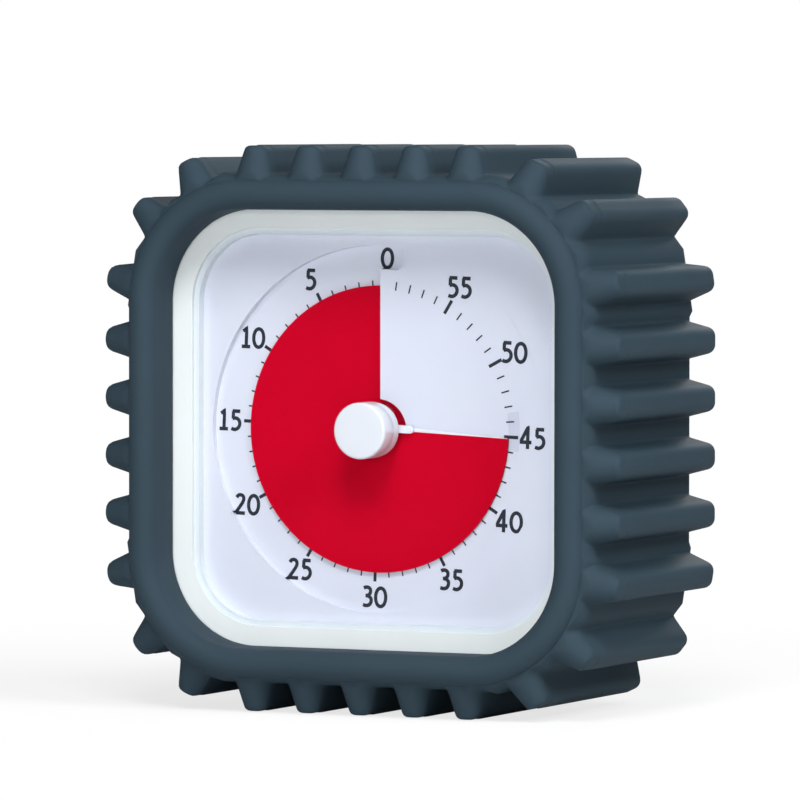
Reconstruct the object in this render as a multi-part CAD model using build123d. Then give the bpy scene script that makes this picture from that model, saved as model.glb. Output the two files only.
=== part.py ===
from build123d import *

import math
import os

# Visual countdown timer: a white quartz timer in a ribbed silicone sleeve. Millimetres.
#
# Every piece is drawn in the dial frame: X to the right, Y up, Z towards the person who reads
# the dial, with the origin on the knob's axis in the dial's flat face. Heights called "front"
# are larger than heights called "back". place() turns the dial frame into the part's own frame:
# +Z up, the dial facing -Y, the origin below the middle of the sleeve on the surface it rests on.

# ---------------------------------------------------------------- sleeve
FLAT_HALF = 23.1  # half of the straight run that every rounded square of the object shares
SLEEVE_WALL = 2.0
SLEEVE_FIT = 0.3  # gap between the sleeve and the case
LIP_SETBACK = 1.1  # how much narrower the lip's front is than the sleeve body
LIP_SLOPE = 5.8  # depth over which the lip widens to the sleeve body
LIP_FRONT_WALL = 2.9  # rubber in front of the case rim
LIP_ROUND = 2.4  # rounding of the lip's outer and inner front edges
SKIRT_WALL = 1.6  # rubber that lines the inside of the case rim
SKIRT_GAP = 0.2  # skirt's back edge above the bezel
BACK_ROUND = 1.2  # rounding of the sleeve's outer back edge

RIB_HEIGHT = 5.4
RIB_TIP_WIDTH = 4.3
RIB_DRAFT = 14.3  # degrees, each flank
RIB_STEP = 10.74  # distance between neighbouring ribs
RIB_ROUND = 1.4
RIB_SETBACK = 4.5  # front of the lip to the front end of a rib's tip
RIB_FRONT_SLOPE = 22.0  # degrees between a rib's sloped front end and the dial
RIB_BACK_INSET = 0.4  # rib ends this far in front of the sleeve's back edge
TOP_CORNER_RIB = 33.7  # along the outline from the middle of the top or bottom
SIDE_CORNER_RIB = 39.1  # along the outline from the middle of the left or right side
TOP_RIBS = 5  # straight ribs on the top and on the bottom
SIDE_RIBS = 6  # straight ribs on each side

# ---------------------------------------------------------------- case
CASE_WALL = 2.2
CASE_SPLIT = 14.0  # seam between front frame and rear shell, behind the dial face
CASE_BACK_INSET = 0.8  # the case's back lies this far inside the sleeve's back edge
CASE_BACK_WALL = 2.2
RABBET_DEPTH = 1.5
RABBET_WALL = 1.0
RABBET_GAP = 0.1
RIM_WALL = 2.3
RIM_HEIGHT = 6.6  # rim above the bezel
RIM_ROUND = 0.8
BEZEL_WIDTH = 4.6  # from the dial opening to the window
BEZEL_PROUD = 0.4  # bezel's highest line above the lens
BEZEL_DROP = 0.5  # how far the bezel slopes down to the lens
OPENING_MARGIN = 1.9  # dial opening beyond the ramp's wall
LENS_LEDGE = 0.9  # lens beyond the dial opening
LENS_THICKNESS = 1.0
LENS_GAP = 0.15
LENS_CLEARANCE = 0.15  # lens above the arm's peg at the full hour
SCREW_POST_RADIUS = 3.6
SCREW_POST_INSET = 2.6  # post centre inside the case wall, at the corners
POST_DIAL_GAP = 0.3
CASE_SCREW_RADIUS = 1.25
CASE_SCREW_LENGTH = 14.0
CASE_SCREW_HEAD = 22.0  # head seat behind the dial face
HEAD_RADIUS_RATIO = 1.75  # screw head radius to shank radius
HEAD_HEIGHT_RATIO = 1.2
DRIVE_WIDTH_RATIO = 0.4
SCREW_GAP = 0.15
SCREW_END_GAP = 0.5

# ---------------------------------------------------------------- dial and red disc
RAMP_RISE = 1.8  # one turn of the dial's ramp and of the disc's screw
RAMP_WALL = 0.8
RECESS_WALL = 1.2
DIAL_HOLE_RADIUS = 5.6
DIAL_MARGIN = 3.7  # dial beyond its opening
DIAL_THICKNESS = 1.2
SLOT_WIDTH = 0.5
POCKET_LENGTH = 4.4  # radial length of the pocket that carries the zero
POCKET_WIDTH = 5.0
POCKET_WALL = 0.55
POCKET_ROUND = 1.3
DISC_RADIUS = 26.45
DISC_THICKNESS = 0.35
DISC_GAP = 0.3  # between the film and the ramp under it
SET_TURN = 0.7425  # turns wound up from the step, to the printed 45 minutes
HUB_RADIUS = 3.2
HUB_GLUE = 0.05
HUB_BACK = 3.4  # back of the hub behind the dial face
HUB_FLANGE_RADIUS = 4.4
HUB_FLANGE = 0.8
HUB_LOW_GAP = 0.45  # hub in front of the arbor's journal at zero
ARM_LENGTH = 7.5
ARM_AHEAD = 1.1  # arm's width ahead of the leading edge
ARM_BEHIND = 0.3
ARM_THICKNESS = 0.7
ARM_PEG_RADIUS = 0.7
ARM_PEG_HEIGHT = 0.4
TAB_REACH = 2.15  # tab beyond the film's rim
TAB_GAP = 0.35  # between the tab and the pocket
TAB_AHEAD = 10.3  # degrees ahead of the leading edge
TAB_BEHIND = 4.6
KNOB_RADIUS = 5.2
KNOB_FRONT = 8.1  # above the dial face
KNOB_CLEARANCE = 0.3  # knob above the arm at the full hour
KNOB_COLLAR_HEIGHT = 3.9  # the knob is a little thinner below this height
KNOB_COLLAR_STEP = 0.2
KNOB_ROUND = 0.5
KNOB_CAP = 1.0  # plastic in front of the arbor
KNOB_GAP = 0.35  # in the lens

# ---------------------------------------------------------------- movement
JOURNAL_PROUD = 0.4  # journal's front end in front of the movement
PLATE_MARGIN = 3.0  # front plate beyond the middle of its screws
PLATE_THICKNESS = 1.4
PLATE_ROUND = 3.0
MOVEMENT_POST_RADIUS = 2.4
COVER_WALL = 1.2
COVER_BACK_WALL = 1.4
COVER_EAR = 5.0
COVER_EAR_THICKNESS = 1.6
WHEEL_COVER_GAP = 0.6
COIL_COVER_GAP = 0.5
PIVOT_RADIUS = 0.5
PIVOT_GAP = 0.06
PIVOT_DEPTH = 0.9
PIVOT_END_GAP = 0.1
STAFF_RADIUS = 0.85
PINION_TEETH = 10
CENTRE_TEETH = 80
THIRD_TEETH = 75
SECOND_TEETH = 50
INTERMEDIATE_TEETH = 60
CENTRE_MODULE = 0.25  # centre wheel and third pinion
THIRD_MODULE = 0.25  # third wheel and second pinion
SECOND_MODULE = 0.35  # second wheel and intermediate pinion
INTERMEDIATE_MODULE = 0.3  # intermediate wheel and rotor pinion
PRESSURE_ANGLE = 25.0
ADDENDUM = 0.8  # in modules
DEDENDUM = 1.04
FLANK_GAP = 0.05  # taken off each tooth at the pitch circle
FLANK_POINTS = 3
WHEEL_THICKNESS = 1.0
CENTRE_WHEEL_THICKNESS = 1.3
THIRD_ANGLE = 180.0  # direction from the centre wheel to the third wheel, and so on
SECOND_ANGLE = 75.0
INTERMEDIATE_ANGLE = 10.0
ROTOR_ANGLE = -20.0
PINION_MARGIN = 0.3  # pinion face beyond the wheel it drives
LEVEL_STEP = 0.8  # between one wheel and the next behind it
COLLAR_WHEEL_GAP = 0.25
MAGNET_RADIUS = 3.0
MAGNET_THICKNESS = 1.6
MAGNET_PINION_GAP = 0.2
ARBOR_RADIUS = 1.5
ARBOR_FLAT = 1.1  # flat of the D-shaped front length, from the axis
JOURNAL_RADIUS = 1.9
RUNNING_GAP = 0.05
SLIDING_GAP = 0.08
COLLAR_RADIUS = 3.4
COLLAR_THICKNESS = 0.55
COLLAR_GAP = 0.1
TAIL_RADIUS = 1.2
TAIL_PIVOT_RADIUS = 0.8
CLIP_RADIUS = 3.2
CLIP_THICKNESS = 0.4
CLIP_GROOVE_RADIUS = 1.5
CLIP_OPENING = 70.0  # degrees
CLIP_GAP = 0.15  # clip behind the movement's front plate
SPRING_RADIUS = 4.6
SPRING_THICKNESS = 0.15
SPRING_RISE = 0.45  # the washer's height between the clip and the centre wheel
STATOR_THICKNESS = 1.0
STATOR_HALF = 8.5  # half width of the loop, to each side of the rotor
STATOR_WALL = 1.4  # iron beyond the rotor's hole
STATOR_BAR = 3.0
STATOR_GAP = 0.35
STATOR_NOTCH = 0.5
BOBBIN_WALL = 0.5
BOBBIN_GAP = 0.1
BOBBIN_FLANGE = 0.8
BOBBIN_END_GAP = 0.4
BOBBIN_COVER_GAP = 1.75  # between the bobbin and the cover's lower wall
WINDING_THICKNESS = 1.4
FLANGE_MARGIN = 0.3
BOARD_THICKNESS = 0.8
BOARD_STANDOFF = 1.2
BOARD_WIDTH = 17.2
BOARD_HEIGHT = 14.3
BOARD_SIDE_GAP = 0.8
BOARD_BOTTOM_GAP = 0.3
BOARD_POST_INSET = 1.0
CHIP_RADIUS = 2.6
CHIP_HEIGHT = 0.8
CRYSTAL_RADIUS = 1.0
CRYSTAL_LENGTH = 6.0

# ---------------------------------------------------------------- battery bay
CELL_RADIUS = 7.1
CELL_LENGTH = 49.0
CELL_NUB_RADIUS = 2.7
CELL_NUB_LENGTH = 1.3
CELL_ROUND = 0.6
CELL_FRONT_GAP = 0.6
CELL_SIDE_GAP = 0.55
CELL_DOOR_GAP = 0.9
BAY_WALL = 1.3
BAY_CASE_GAP = 3.95  # between the bay and the case's bottom wall
BAY_COVER_GAP = 0.75  # between the bay and the movement's cover
CONTACT_THICKNESS = 0.4
CONTACT_SIZE = 9.0
CONTACT_GAP = 0.05
TONGUE_WIDTH = 3.0
TONGUE_GAP = 0.1
SPRING_LENGTH = 5.8
SPRING_WIRE_RADIUS = 0.3
SPRING_COIL_RADIUS = 3.2
SPRING_TURNS = 3
DOOR_MARGIN = 2.2  # door beyond the bay opening
DOOR_THICKNESS = 1.3
DOOR_GAP = 0.3
DOOR_SEAT_GAP = 0.1
DOOR_ROUND = 1.6
DOOR_LUG = 1.2
DOOR_LUG_LENGTH = 40.0
GRIP_WIDTH = 14.0
GRIP_DEPTH = 0.5
GRIP_STEP = 1.8
GRIP_COUNT = 4

# ---------------------------------------------------------------- sound
SOUNDER_HEIGHT = 20.0
SOUNDER_RADIUS = 13.5
SOUNDER_THICKNESS = 0.3
CERAMIC_RADIUS = 9.0
CERAMIC_THICKNESS = 0.25
SEAT_LEDGE = 1.2
SEAT_LEDGE_WIDTH = 0.9
SEAT_WALL = 1.2
SEAT_HEIGHT = 2.4
SOUNDER_GAP = 0.2
SOUND_HOLE_RADIUS = 0.9
SOUND_HOLE_CIRCLE = 4.0
SOUND_HOLES = 6
SWITCH_X = 27.0
SWITCH_POST_GAP = 2.1  # between the switch and the corner's screw post
SWITCH_LENGTH = 13.0
SWITCH_WIDTH = 6.4
SWITCH_DEPTH = 4.6
SWITCH_WALL = 0.8
SWITCH_TRAVEL = 3.0
SLIDER_LENGTH = 6.4
SLIDER_THICKNESS = 1.6
SLIDER_GAP = 0.15
NUB_LENGTH = 3.2
NUB_WIDTH = 2.6
NUB_PROUD = 0.5
PIN_SIZE = 0.6
PIN_LENGTH = 2.6

# ---------------------------------------------------------------- small screws and wires
DIAL_SCREW_RADIUS = 0.85
DIAL_SCREW_GRIP = 1.6  # length of the dial's screws in the bezel
DIAL_SCREW_END_GAP = 0.1
PLATE_SCREW_RADIUS = 1.0
PLATE_SCREW_LENGTH = 5.0
COVER_SCREW_RADIUS = 0.8
COVER_SCREW_LENGTH = 2.6
WIRE_RADIUS = 0.45
WIRE_BEND = 2.6
WIRE_PAD = 1.6  # length of wire that lies on the board
WIRE_GAP = 0.15
WIRE_FLOOR_GAP = 0.45  # between the plus lead and the movement's cover
MINUS_PAD_RISE = 6.3  # the minus lead above the board's bottom edge
BOARD_PAD_INSET = 3.0  # the sounder's lead inside the board's top right corner
PAD_STEP = 6.0  # the switch's lead to the left of the sounder's
TOUCH = 0.01  # how near a plane an edge lies that is picked for rounding


# ---------------------------------------------------------------- worked out, from the disc outwards
TAB_RADIUS = DISC_RADIUS + TAB_REACH
POCKET_RADIUS = TAB_RADIUS + TAB_GAP + POCKET_WALL
RECESS_RADIUS = POCKET_RADIUS + POCKET_LENGTH  # wall round the ramp
OPENING_HALF = RECESS_RADIUS + OPENING_MARGIN
DIAL_HALF = OPENING_HALF + DIAL_MARGIN
DIAL_SCREW_PLACE = (OPENING_HALF + DIAL_HALF) / 2
LENS_HALF = OPENING_HALF + LENS_LEDGE
LENS_POCKET = LENS_HALF + LENS_GAP
WINDOW_HALF = OPENING_HALF + BEZEL_WIDTH
RIM_INNER = WINDOW_HALF + SKIRT_WALL + SLEEVE_FIT
CASE_HALF = RIM_INNER + RIM_WALL
CASE_INNER = CASE_HALF - CASE_WALL
CAVITY_HALF = CASE_HALF + SLEEVE_FIT
SLEEVE_HALF = CAVITY_HALF + SLEEVE_WALL
AXIS_HEIGHT = SLEEVE_HALF + RIB_HEIGHT
POST_DIAGONAL = FLAT_HALF + (CASE_INNER - SCREW_POST_INSET - FLAT_HALF) * math.cos(math.pi / 4)
MOVEMENT_POST = (RECESS_RADIUS + RECESS_WALL + MOVEMENT_POST_RADIUS) * math.cos(math.pi / 4)
PLATE_HALF = MOVEMENT_POST + PLATE_MARGIN

# ---------------------------------------------------------------- heights above the dial face
FILM_LOW = DISC_GAP - RAMP_RISE + RAMP_RISE * (SET_TURN - 1.0)  # under the film's trailing end
FILM_HIGH = FILM_LOW + RAMP_RISE  # under the film's leading end
HUB_FRONT = FILM_HIGH + DISC_THICKNESS + ARM_THICKNESS
LEAD_ANGLE = 90.0 + 360.0 * SET_TURN  # leading edge, anticlockwise from +X
ARM_TOP = DISC_GAP + DISC_THICKNESS + ARM_THICKNESS  # at the full hour
LENS_BACK = ARM_TOP + ARM_PEG_HEIGHT + LENS_CLEARANCE
KNOB_BACK = ARM_TOP + KNOB_CLEARANCE
ARBOR_FRONT = KNOB_FRONT - KNOB_CAP
BEZEL_FRONT = LENS_BACK + LENS_THICKNESS + BEZEL_PROUD
RIM_FRONT = BEZEL_FRONT + RIM_HEIGHT
LIP_HEIGHT = RIM_FRONT + SLEEVE_FIT + LIP_FRONT_WALL  # front of the lip

# ---------------------------------------------------------------- depths behind the dial face
JOURNAL_FRONT = HUB_BACK + RAMP_RISE * SET_TURN + HUB_LOW_GAP
MOVEMENT_FRONT = JOURNAL_FRONT + JOURNAL_PROUD
CENTRE_LEVEL = MOVEMENT_FRONT + PLATE_THICKNESS + CLIP_GAP + CLIP_THICKNESS + SPRING_RISE
COLLAR_LEVEL = CENTRE_LEVEL + CENTRE_WHEEL_THICKNESS + COLLAR_GAP
THIRD_LEVEL = COLLAR_LEVEL + COLLAR_THICKNESS + COLLAR_WHEEL_GAP
SECOND_LEVEL = THIRD_LEVEL + WHEEL_THICKNESS + LEVEL_STEP
INTERMEDIATE_LEVEL = SECOND_LEVEL + WHEEL_THICKNESS + LEVEL_STEP
MAGNET_LEVEL = INTERMEDIATE_LEVEL + WHEEL_THICKNESS + PINION_MARGIN + MAGNET_PINION_GAP
STATOR_LEVEL = MAGNET_LEVEL + (MAGNET_THICKNESS - STATOR_THICKNESS) / 2

# ---------------------------------------------------------------- the same, as heights
PLATE_BACK = -MOVEMENT_FRONT - PLATE_THICKNESS
CLIP_FRONT = PLATE_BACK - CLIP_GAP
COLLAR_FRONT = -COLLAR_LEVEL
STATOR_MIDDLE = -STATOR_LEVEL - STATOR_THICKNESS / 2
BOBBIN_CORE = BOBBIN_GAP + BOBBIN_WALL
BOBBIN_RIM = BOBBIN_CORE + WINDING_THICKNESS + FLANGE_MARGIN
COVER_FLOOR = STATOR_MIDDLE - STATOR_THICKNESS / 2 - BOBBIN_RIM - COIL_COVER_GAP
COVER_BACK = COVER_FLOOR - COVER_BACK_WALL
BOARD_BACK = COVER_FLOOR + BOARD_STANDOFF
BOARD_FRONT = BOARD_BACK + BOARD_THICKNESS
WIRE_ON_BOARD = BOARD_FRONT + WIRE_RADIUS
BAY_FLOOR = COVER_FLOOR  # front of the bay's inside
CELL_MIDDLE = BAY_FLOOR - CELL_FRONT_GAP - CELL_RADIUS
DOOR_INNER = CELL_MIDDLE - CELL_RADIUS - CELL_DOOR_GAP
CASE_BACK = DOOR_INNER - DOOR_THICKNESS
CASE_FLOOR = CASE_BACK + CASE_BACK_WALL
SLEEVE_BACK = CASE_BACK - CASE_BACK_INSET
DIAL_PLACE = (LIP_HEIGHT + SLEEVE_BACK) / 2  # the dial face along the part's own Y
PIN_FRONT = CASE_FLOOR + SWITCH_DEPTH + PIN_LENGTH

# ---------------------------------------------------------------- places in the dial's plane
BAY_HALF = (CELL_LENGTH + CELL_NUB_LENGTH + SPRING_LENGTH) / 2 + CONTACT_THICKNESS + CONTACT_GAP
BAY_HALF_HEIGHT = CELL_RADIUS + CELL_SIDE_GAP
CELL_HEIGHT = -CASE_INNER + BAY_CASE_GAP + BAY_WALL + BAY_HALF_HEIGHT
CELL_RIGHT = BAY_HALF - CONTACT_THICKNESS - CONTACT_GAP
CELL_LEFT = CELL_RIGHT - CELL_NUB_LENGTH - CELL_LENGTH
SWITCH_Y = POST_DIAGONAL - SCREW_POST_RADIUS - SWITCH_POST_GAP - SWITCH_WIDTH / 2
PIN_STEP = SWITCH_LENGTH / 4


def polar(start, distance, degrees):
    """The point at a distance and direction from another."""
    turn = math.radians(degrees)
    return (start[0] + distance * math.cos(turn), start[1] + distance * math.sin(turn))


def spacing(wheel_teeth, module):
    """Centre distance of a wheel and the pinion that it meshes with."""
    return module * (wheel_teeth + PINION_TEETH) / 2


def wheel_reach(teeth, module):
    """Tip radius of a wheel and the gap between it and the movement's cover."""
    return module * (teeth / 2 + ADDENDUM) + WHEEL_COVER_GAP


THIRD_PLACE = polar((0.0, 0.0), spacing(CENTRE_TEETH, CENTRE_MODULE), THIRD_ANGLE)
SECOND_PLACE = polar(THIRD_PLACE, spacing(THIRD_TEETH, THIRD_MODULE), SECOND_ANGLE)
INTERMEDIATE_PLACE = polar(SECOND_PLACE, spacing(SECOND_TEETH, SECOND_MODULE), INTERMEDIATE_ANGLE)
ROTOR_PLACE = polar(INTERMEDIATE_PLACE, spacing(INTERMEDIATE_TEETH, INTERMEDIATE_MODULE), ROTOR_ANGLE)
COVER_HALF = wheel_reach(THIRD_TEETH, THIRD_MODULE) + COVER_WALL - THIRD_PLACE[0]
COVER_TOP = INTERMEDIATE_PLACE[1] + wheel_reach(INTERMEDIATE_TEETH, INTERMEDIATE_MODULE) + COVER_WALL
COVER_BOTTOM = CELL_HEIGHT + BAY_HALF_HEIGHT + BAY_WALL + BAY_COVER_GAP
STATOR_LEFT = ROTOR_PLACE[0] - STATOR_HALF
STATOR_RIGHT = ROTOR_PLACE[0] + STATOR_HALF
STATOR_TOP = ROTOR_PLACE[1] + MAGNET_RADIUS + STATOR_GAP + STATOR_WALL
STATOR_BOTTOM = COVER_BOTTOM + COVER_WALL + BOBBIN_COVER_GAP + BOBBIN_RIM
BAR_MIDDLE = STATOR_BOTTOM + STATOR_BAR / 2
COIL_LEFT = STATOR_LEFT + STATOR_BAR + BOBBIN_END_GAP
COIL_RIGHT = STATOR_RIGHT - STATOR_BAR - BOBBIN_END_GAP
BOARD_LEFT = -COVER_HALF + COVER_WALL + BOARD_SIDE_GAP
BOARD_RIGHT = BOARD_LEFT + BOARD_WIDTH
BOARD_BOTTOM = COVER_BOTTOM + COVER_WALL + BOARD_BOTTOM_GAP
BOARD_TOP = BOARD_BOTTOM + BOARD_HEIGHT
MINUS_LEAD_Y = BOARD_BOTTOM + MINUS_PAD_RISE
PLUS_LEAD_Y = COVER_BOTTOM + COVER_WALL + WIRE_FLOOR_GAP + WIRE_RADIUS
BOARD_PAD_X = BOARD_RIGHT - BOARD_PAD_INSET
SWITCH_PAD_X = BOARD_PAD_X - PAD_STEP
BOARD_PAD_Y = BOARD_TOP - BOARD_PAD_INSET
CORNERS = [(1, 1), (-1, 1), (-1, -1), (1, -1)]
SIDES = [(1, 0), (0, 1), (-1, 0), (0, -1)]


# ---------------------------------------------------------------- helpers
def slab(sketch, back, front):
    """A sketch of the dial plane, extruded between two heights."""
    return Pos(0, 0, back) * extrude(sketch, front - back)


def square(half):
    """The rounded square that all outlines of the object are offsets of."""
    return RectangleRounded(2 * half, 2 * half, half - FLAT_HALF)


def rod(radius, back, front, at=(0.0, 0.0)):
    """A cylinder along the dial axis."""
    return slab(Pos(*at) * Circle(radius), back, front)


def block(left, right, bottom, top, back, front):
    """A box between six planes."""
    size = Box(right - left, top - bottom, front - back)
    return Pos((left + right) / 2, (bottom + top) / 2, (back + front) / 2) * size


def ring(outer, inner, back, front):
    """The wall between two rounded squares."""
    return slab(square(outer) - square(inner), back, front)


def screw(radius, length, seat, at):
    """A pan-head screw driven towards the front, its head behind the height of its seat."""
    head_radius = radius * HEAD_RADIUS_RATIO
    head = rod(head_radius, seat - radius * HEAD_HEIGHT_RATIO, seat, at)
    shank = rod(radius, seat, seat + length, at)
    slit = radius * DRIVE_WIDTH_RATIO
    drive = Pos(*at, seat - radius * HEAD_HEIGHT_RATIO) * Box(radius * 2, slit, radius)
    cross = Pos(*at, seat - radius * HEAD_HEIGHT_RATIO) * Box(slit, radius * 2, radius)
    return head + shank - drive - cross


def place(shape):
    """Turn a shape from the dial frame into the part's own frame."""
    return Pos(0, DIAL_PLACE, AXIS_HEIGHT) * Rot(90, 0, 0) * shape


# ---------------------------------------------------------------- sleeve
def outline_spot(along):
    """Point and outward angle on the sleeve's right side, at a distance along it from its middle."""
    radius = SLEEVE_HALF - FLAT_HALF
    turn = max(abs(along) - FLAT_HALF, 0.0) / radius
    if turn == 0.0:
        return (SLEEVE_HALF, along, 0.0)
    x = FLAT_HALF + radius * math.cos(turn)
    y = FLAT_HALF + radius * math.sin(turn)
    return (x, math.copysign(y, along), math.copysign(math.degrees(turn), along))


def rib():
    """One rib along the dial axis: its root in the plane X = 0, its tip towards +X."""
    root = SLEEVE_WALL / 2
    flank = math.tan(math.radians(RIB_DRAFT))
    tip = RIB_TIP_WIDTH / 2
    foot = tip + (RIB_HEIGHT + root) * flank
    section = make_face(
        Polyline((-root, -foot), (RIB_HEIGHT, -tip), (RIB_HEIGHT, tip), (-root, foot), close=True)
    )
    tip_front = LIP_HEIGHT - RIB_SETBACK
    reach = (RIB_HEIGHT + root) * math.tan(math.radians(RIB_FRONT_SLOPE))
    body = slab(section, SLEEVE_BACK + RIB_BACK_INSET, tip_front + reach)
    side = make_face(
        Polyline(
            (RIB_HEIGHT, 0, tip_front),
            (RIB_HEIGHT, 0, tip_front + 2 * reach),
            (-root, 0, tip_front + 2 * reach),
            (-root, 0, tip_front + reach),
            close=True,
        )
    )
    cut = extrude(side, 2 * foot, both=True)
    body = body - cut
    rounded = [
        edge for edge in body.edges() if edge.center().X > RIB_HEIGHT / 3 or edge.center().Z > tip_front
    ]
    rounded = [edge for edge in rounded if edge.center().X > 0.0]
    return fillet(rounded, RIB_ROUND)


def rib_places():
    """Every rib's place and outward angle on the sleeve's outline."""
    spots = []
    side_run = [(number - (SIDE_RIBS - 1) / 2) * RIB_STEP for number in range(SIDE_RIBS)]
    top_run = [(number - (TOP_RIBS - 1) / 2) * RIB_STEP for number in range(TOP_RIBS)]
    side_run += [-SIDE_CORNER_RIB, SIDE_CORNER_RIB]
    top_run += [-TOP_CORNER_RIB, TOP_CORNER_RIB]
    for run, first in ((side_run, 0.0), (top_run, 90.0)):
        for along in run:
            x, y, angle = outline_spot(along)
            for turn in (first, first + 180.0):
                spots.append(Rot(0, 0, turn) * Pos(x, y, 0) * Rot(0, 0, angle))
    return spots


def silicone_sleeve():
    """The ribbed rubber sleeve: body, lip round the window, skirt inside the case rim, ribs."""
    slope_back = LIP_HEIGHT - LIP_SLOPE
    front = Pos(0, 0, LIP_HEIGHT) * square(SLEEVE_HALF - LIP_SETBACK)
    back = Pos(0, 0, slope_back) * square(SLEEVE_HALF)
    body = slab(square(SLEEVE_HALF), SLEEVE_BACK, slope_back) + loft([back, front])
    groove_front = LIP_HEIGHT - LIP_FRONT_WALL
    skirt_back = BEZEL_FRONT + SKIRT_GAP
    skirt = ring(WINDOW_HALF + SKIRT_WALL, WINDOW_HALF, skirt_back, groove_front)
    body = body - slab(square(WINDOW_HALF), slope_back, LIP_HEIGHT)
    lip_edges = body.edges().filter_by_position(Axis.Z, LIP_HEIGHT - TOUCH, LIP_HEIGHT + TOUCH)
    body = fillet(lip_edges, LIP_ROUND)
    back_edges = body.edges().filter_by_position(Axis.Z, SLEEVE_BACK - TOUCH, SLEEVE_BACK + TOUCH)
    body = fillet(back_edges, BACK_ROUND)
    body = body - slab(square(CAVITY_HALF), SLEEVE_BACK, groove_front)
    body = body + skirt
    one = rib()
    return body + [spot * one for spot in rib_places()]


# ---------------------------------------------------------------- case
def front_frame():
    """Front half of the case: rim, bezel round the dial opening, side walls, screw posts."""
    frame = ring(CASE_HALF, CASE_INNER, -CASE_SPLIT, 0)
    frame = frame + slab(square(CASE_HALF) - square(OPENING_HALF), 0, BEZEL_FRONT)
    rim = ring(CASE_HALF, RIM_INNER, BEZEL_FRONT, RIM_FRONT)
    rim_edges = rim.edges().filter_by_position(Axis.Z, RIM_FRONT - TOUCH, RIM_FRONT + TOUCH)
    frame = frame + fillet(rim_edges, RIM_ROUND)
    slope_low = Pos(0, 0, BEZEL_FRONT - BEZEL_DROP) * square(LENS_POCKET)
    slope_high = Pos(0, 0, BEZEL_FRONT) * square(WINDOW_HALF)
    frame = frame - loft([slope_low, slope_high])
    frame = frame - slab(square(LENS_POCKET), LENS_BACK, BEZEL_FRONT)
    post_front = -DIAL_THICKNESS - POST_DIAL_GAP
    for x_side, y_side in CORNERS:
        at = (x_side * POST_DIAGONAL, y_side * POST_DIAGONAL)
        post = rod(SCREW_POST_RADIUS, -CASE_SPLIT, post_front, at)
        post = post & slab(square(CASE_HALF - CASE_WALL / 2), -CASE_SPLIT, post_front)
        pilot = rod(CASE_SCREW_RADIUS, -CASE_SPLIT, -CASE_SCREW_HEAD + CASE_SCREW_LENGTH + SCREW_END_GAP, at)
        frame = frame + post - pilot
    for x_side, y_side in SIDES:
        at = (x_side * DIAL_SCREW_PLACE, y_side * DIAL_SCREW_PLACE)
        frame = frame - rod(DIAL_SCREW_RADIUS, 0, DIAL_SCREW_GRIP + DIAL_SCREW_END_GAP, at)
    rabbet = ring(CASE_INNER + RABBET_WALL + RABBET_GAP, CASE_INNER - CASE_WALL, -CASE_SPLIT,
                  -CASE_SPLIT + RABBET_DEPTH + RABBET_GAP)
    return frame - rabbet + front_posts()


def front_posts():
    """The cores of the screw posts that reach down to the seam inside the rear shell's rabbet."""
    cores = []
    for x_side, y_side in CORNERS:
        at = (x_side * POST_DIAGONAL, y_side * POST_DIAGONAL)
        core = rod(SCREW_POST_RADIUS, -CASE_SPLIT, -CASE_SPLIT + RABBET_DEPTH * 2, at)
        core = core & slab(square(CASE_INNER - RABBET_GAP), -CASE_SPLIT, 0)
        cores.append(core - rod(CASE_SCREW_RADIUS, -CASE_SPLIT, 0, at))
    return cores


def door_seat(margin, back, front):
    """The door's rounded rectangle grown by a margin, between two heights."""
    width = 2 * (BAY_HALF + DOOR_MARGIN + margin)
    height = 2 * (BAY_HALF_HEIGHT + DOOR_MARGIN + margin)
    return slab(Pos(0, CELL_HEIGHT) * RectangleRounded(width, height, DOOR_ROUND), back, front)


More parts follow.
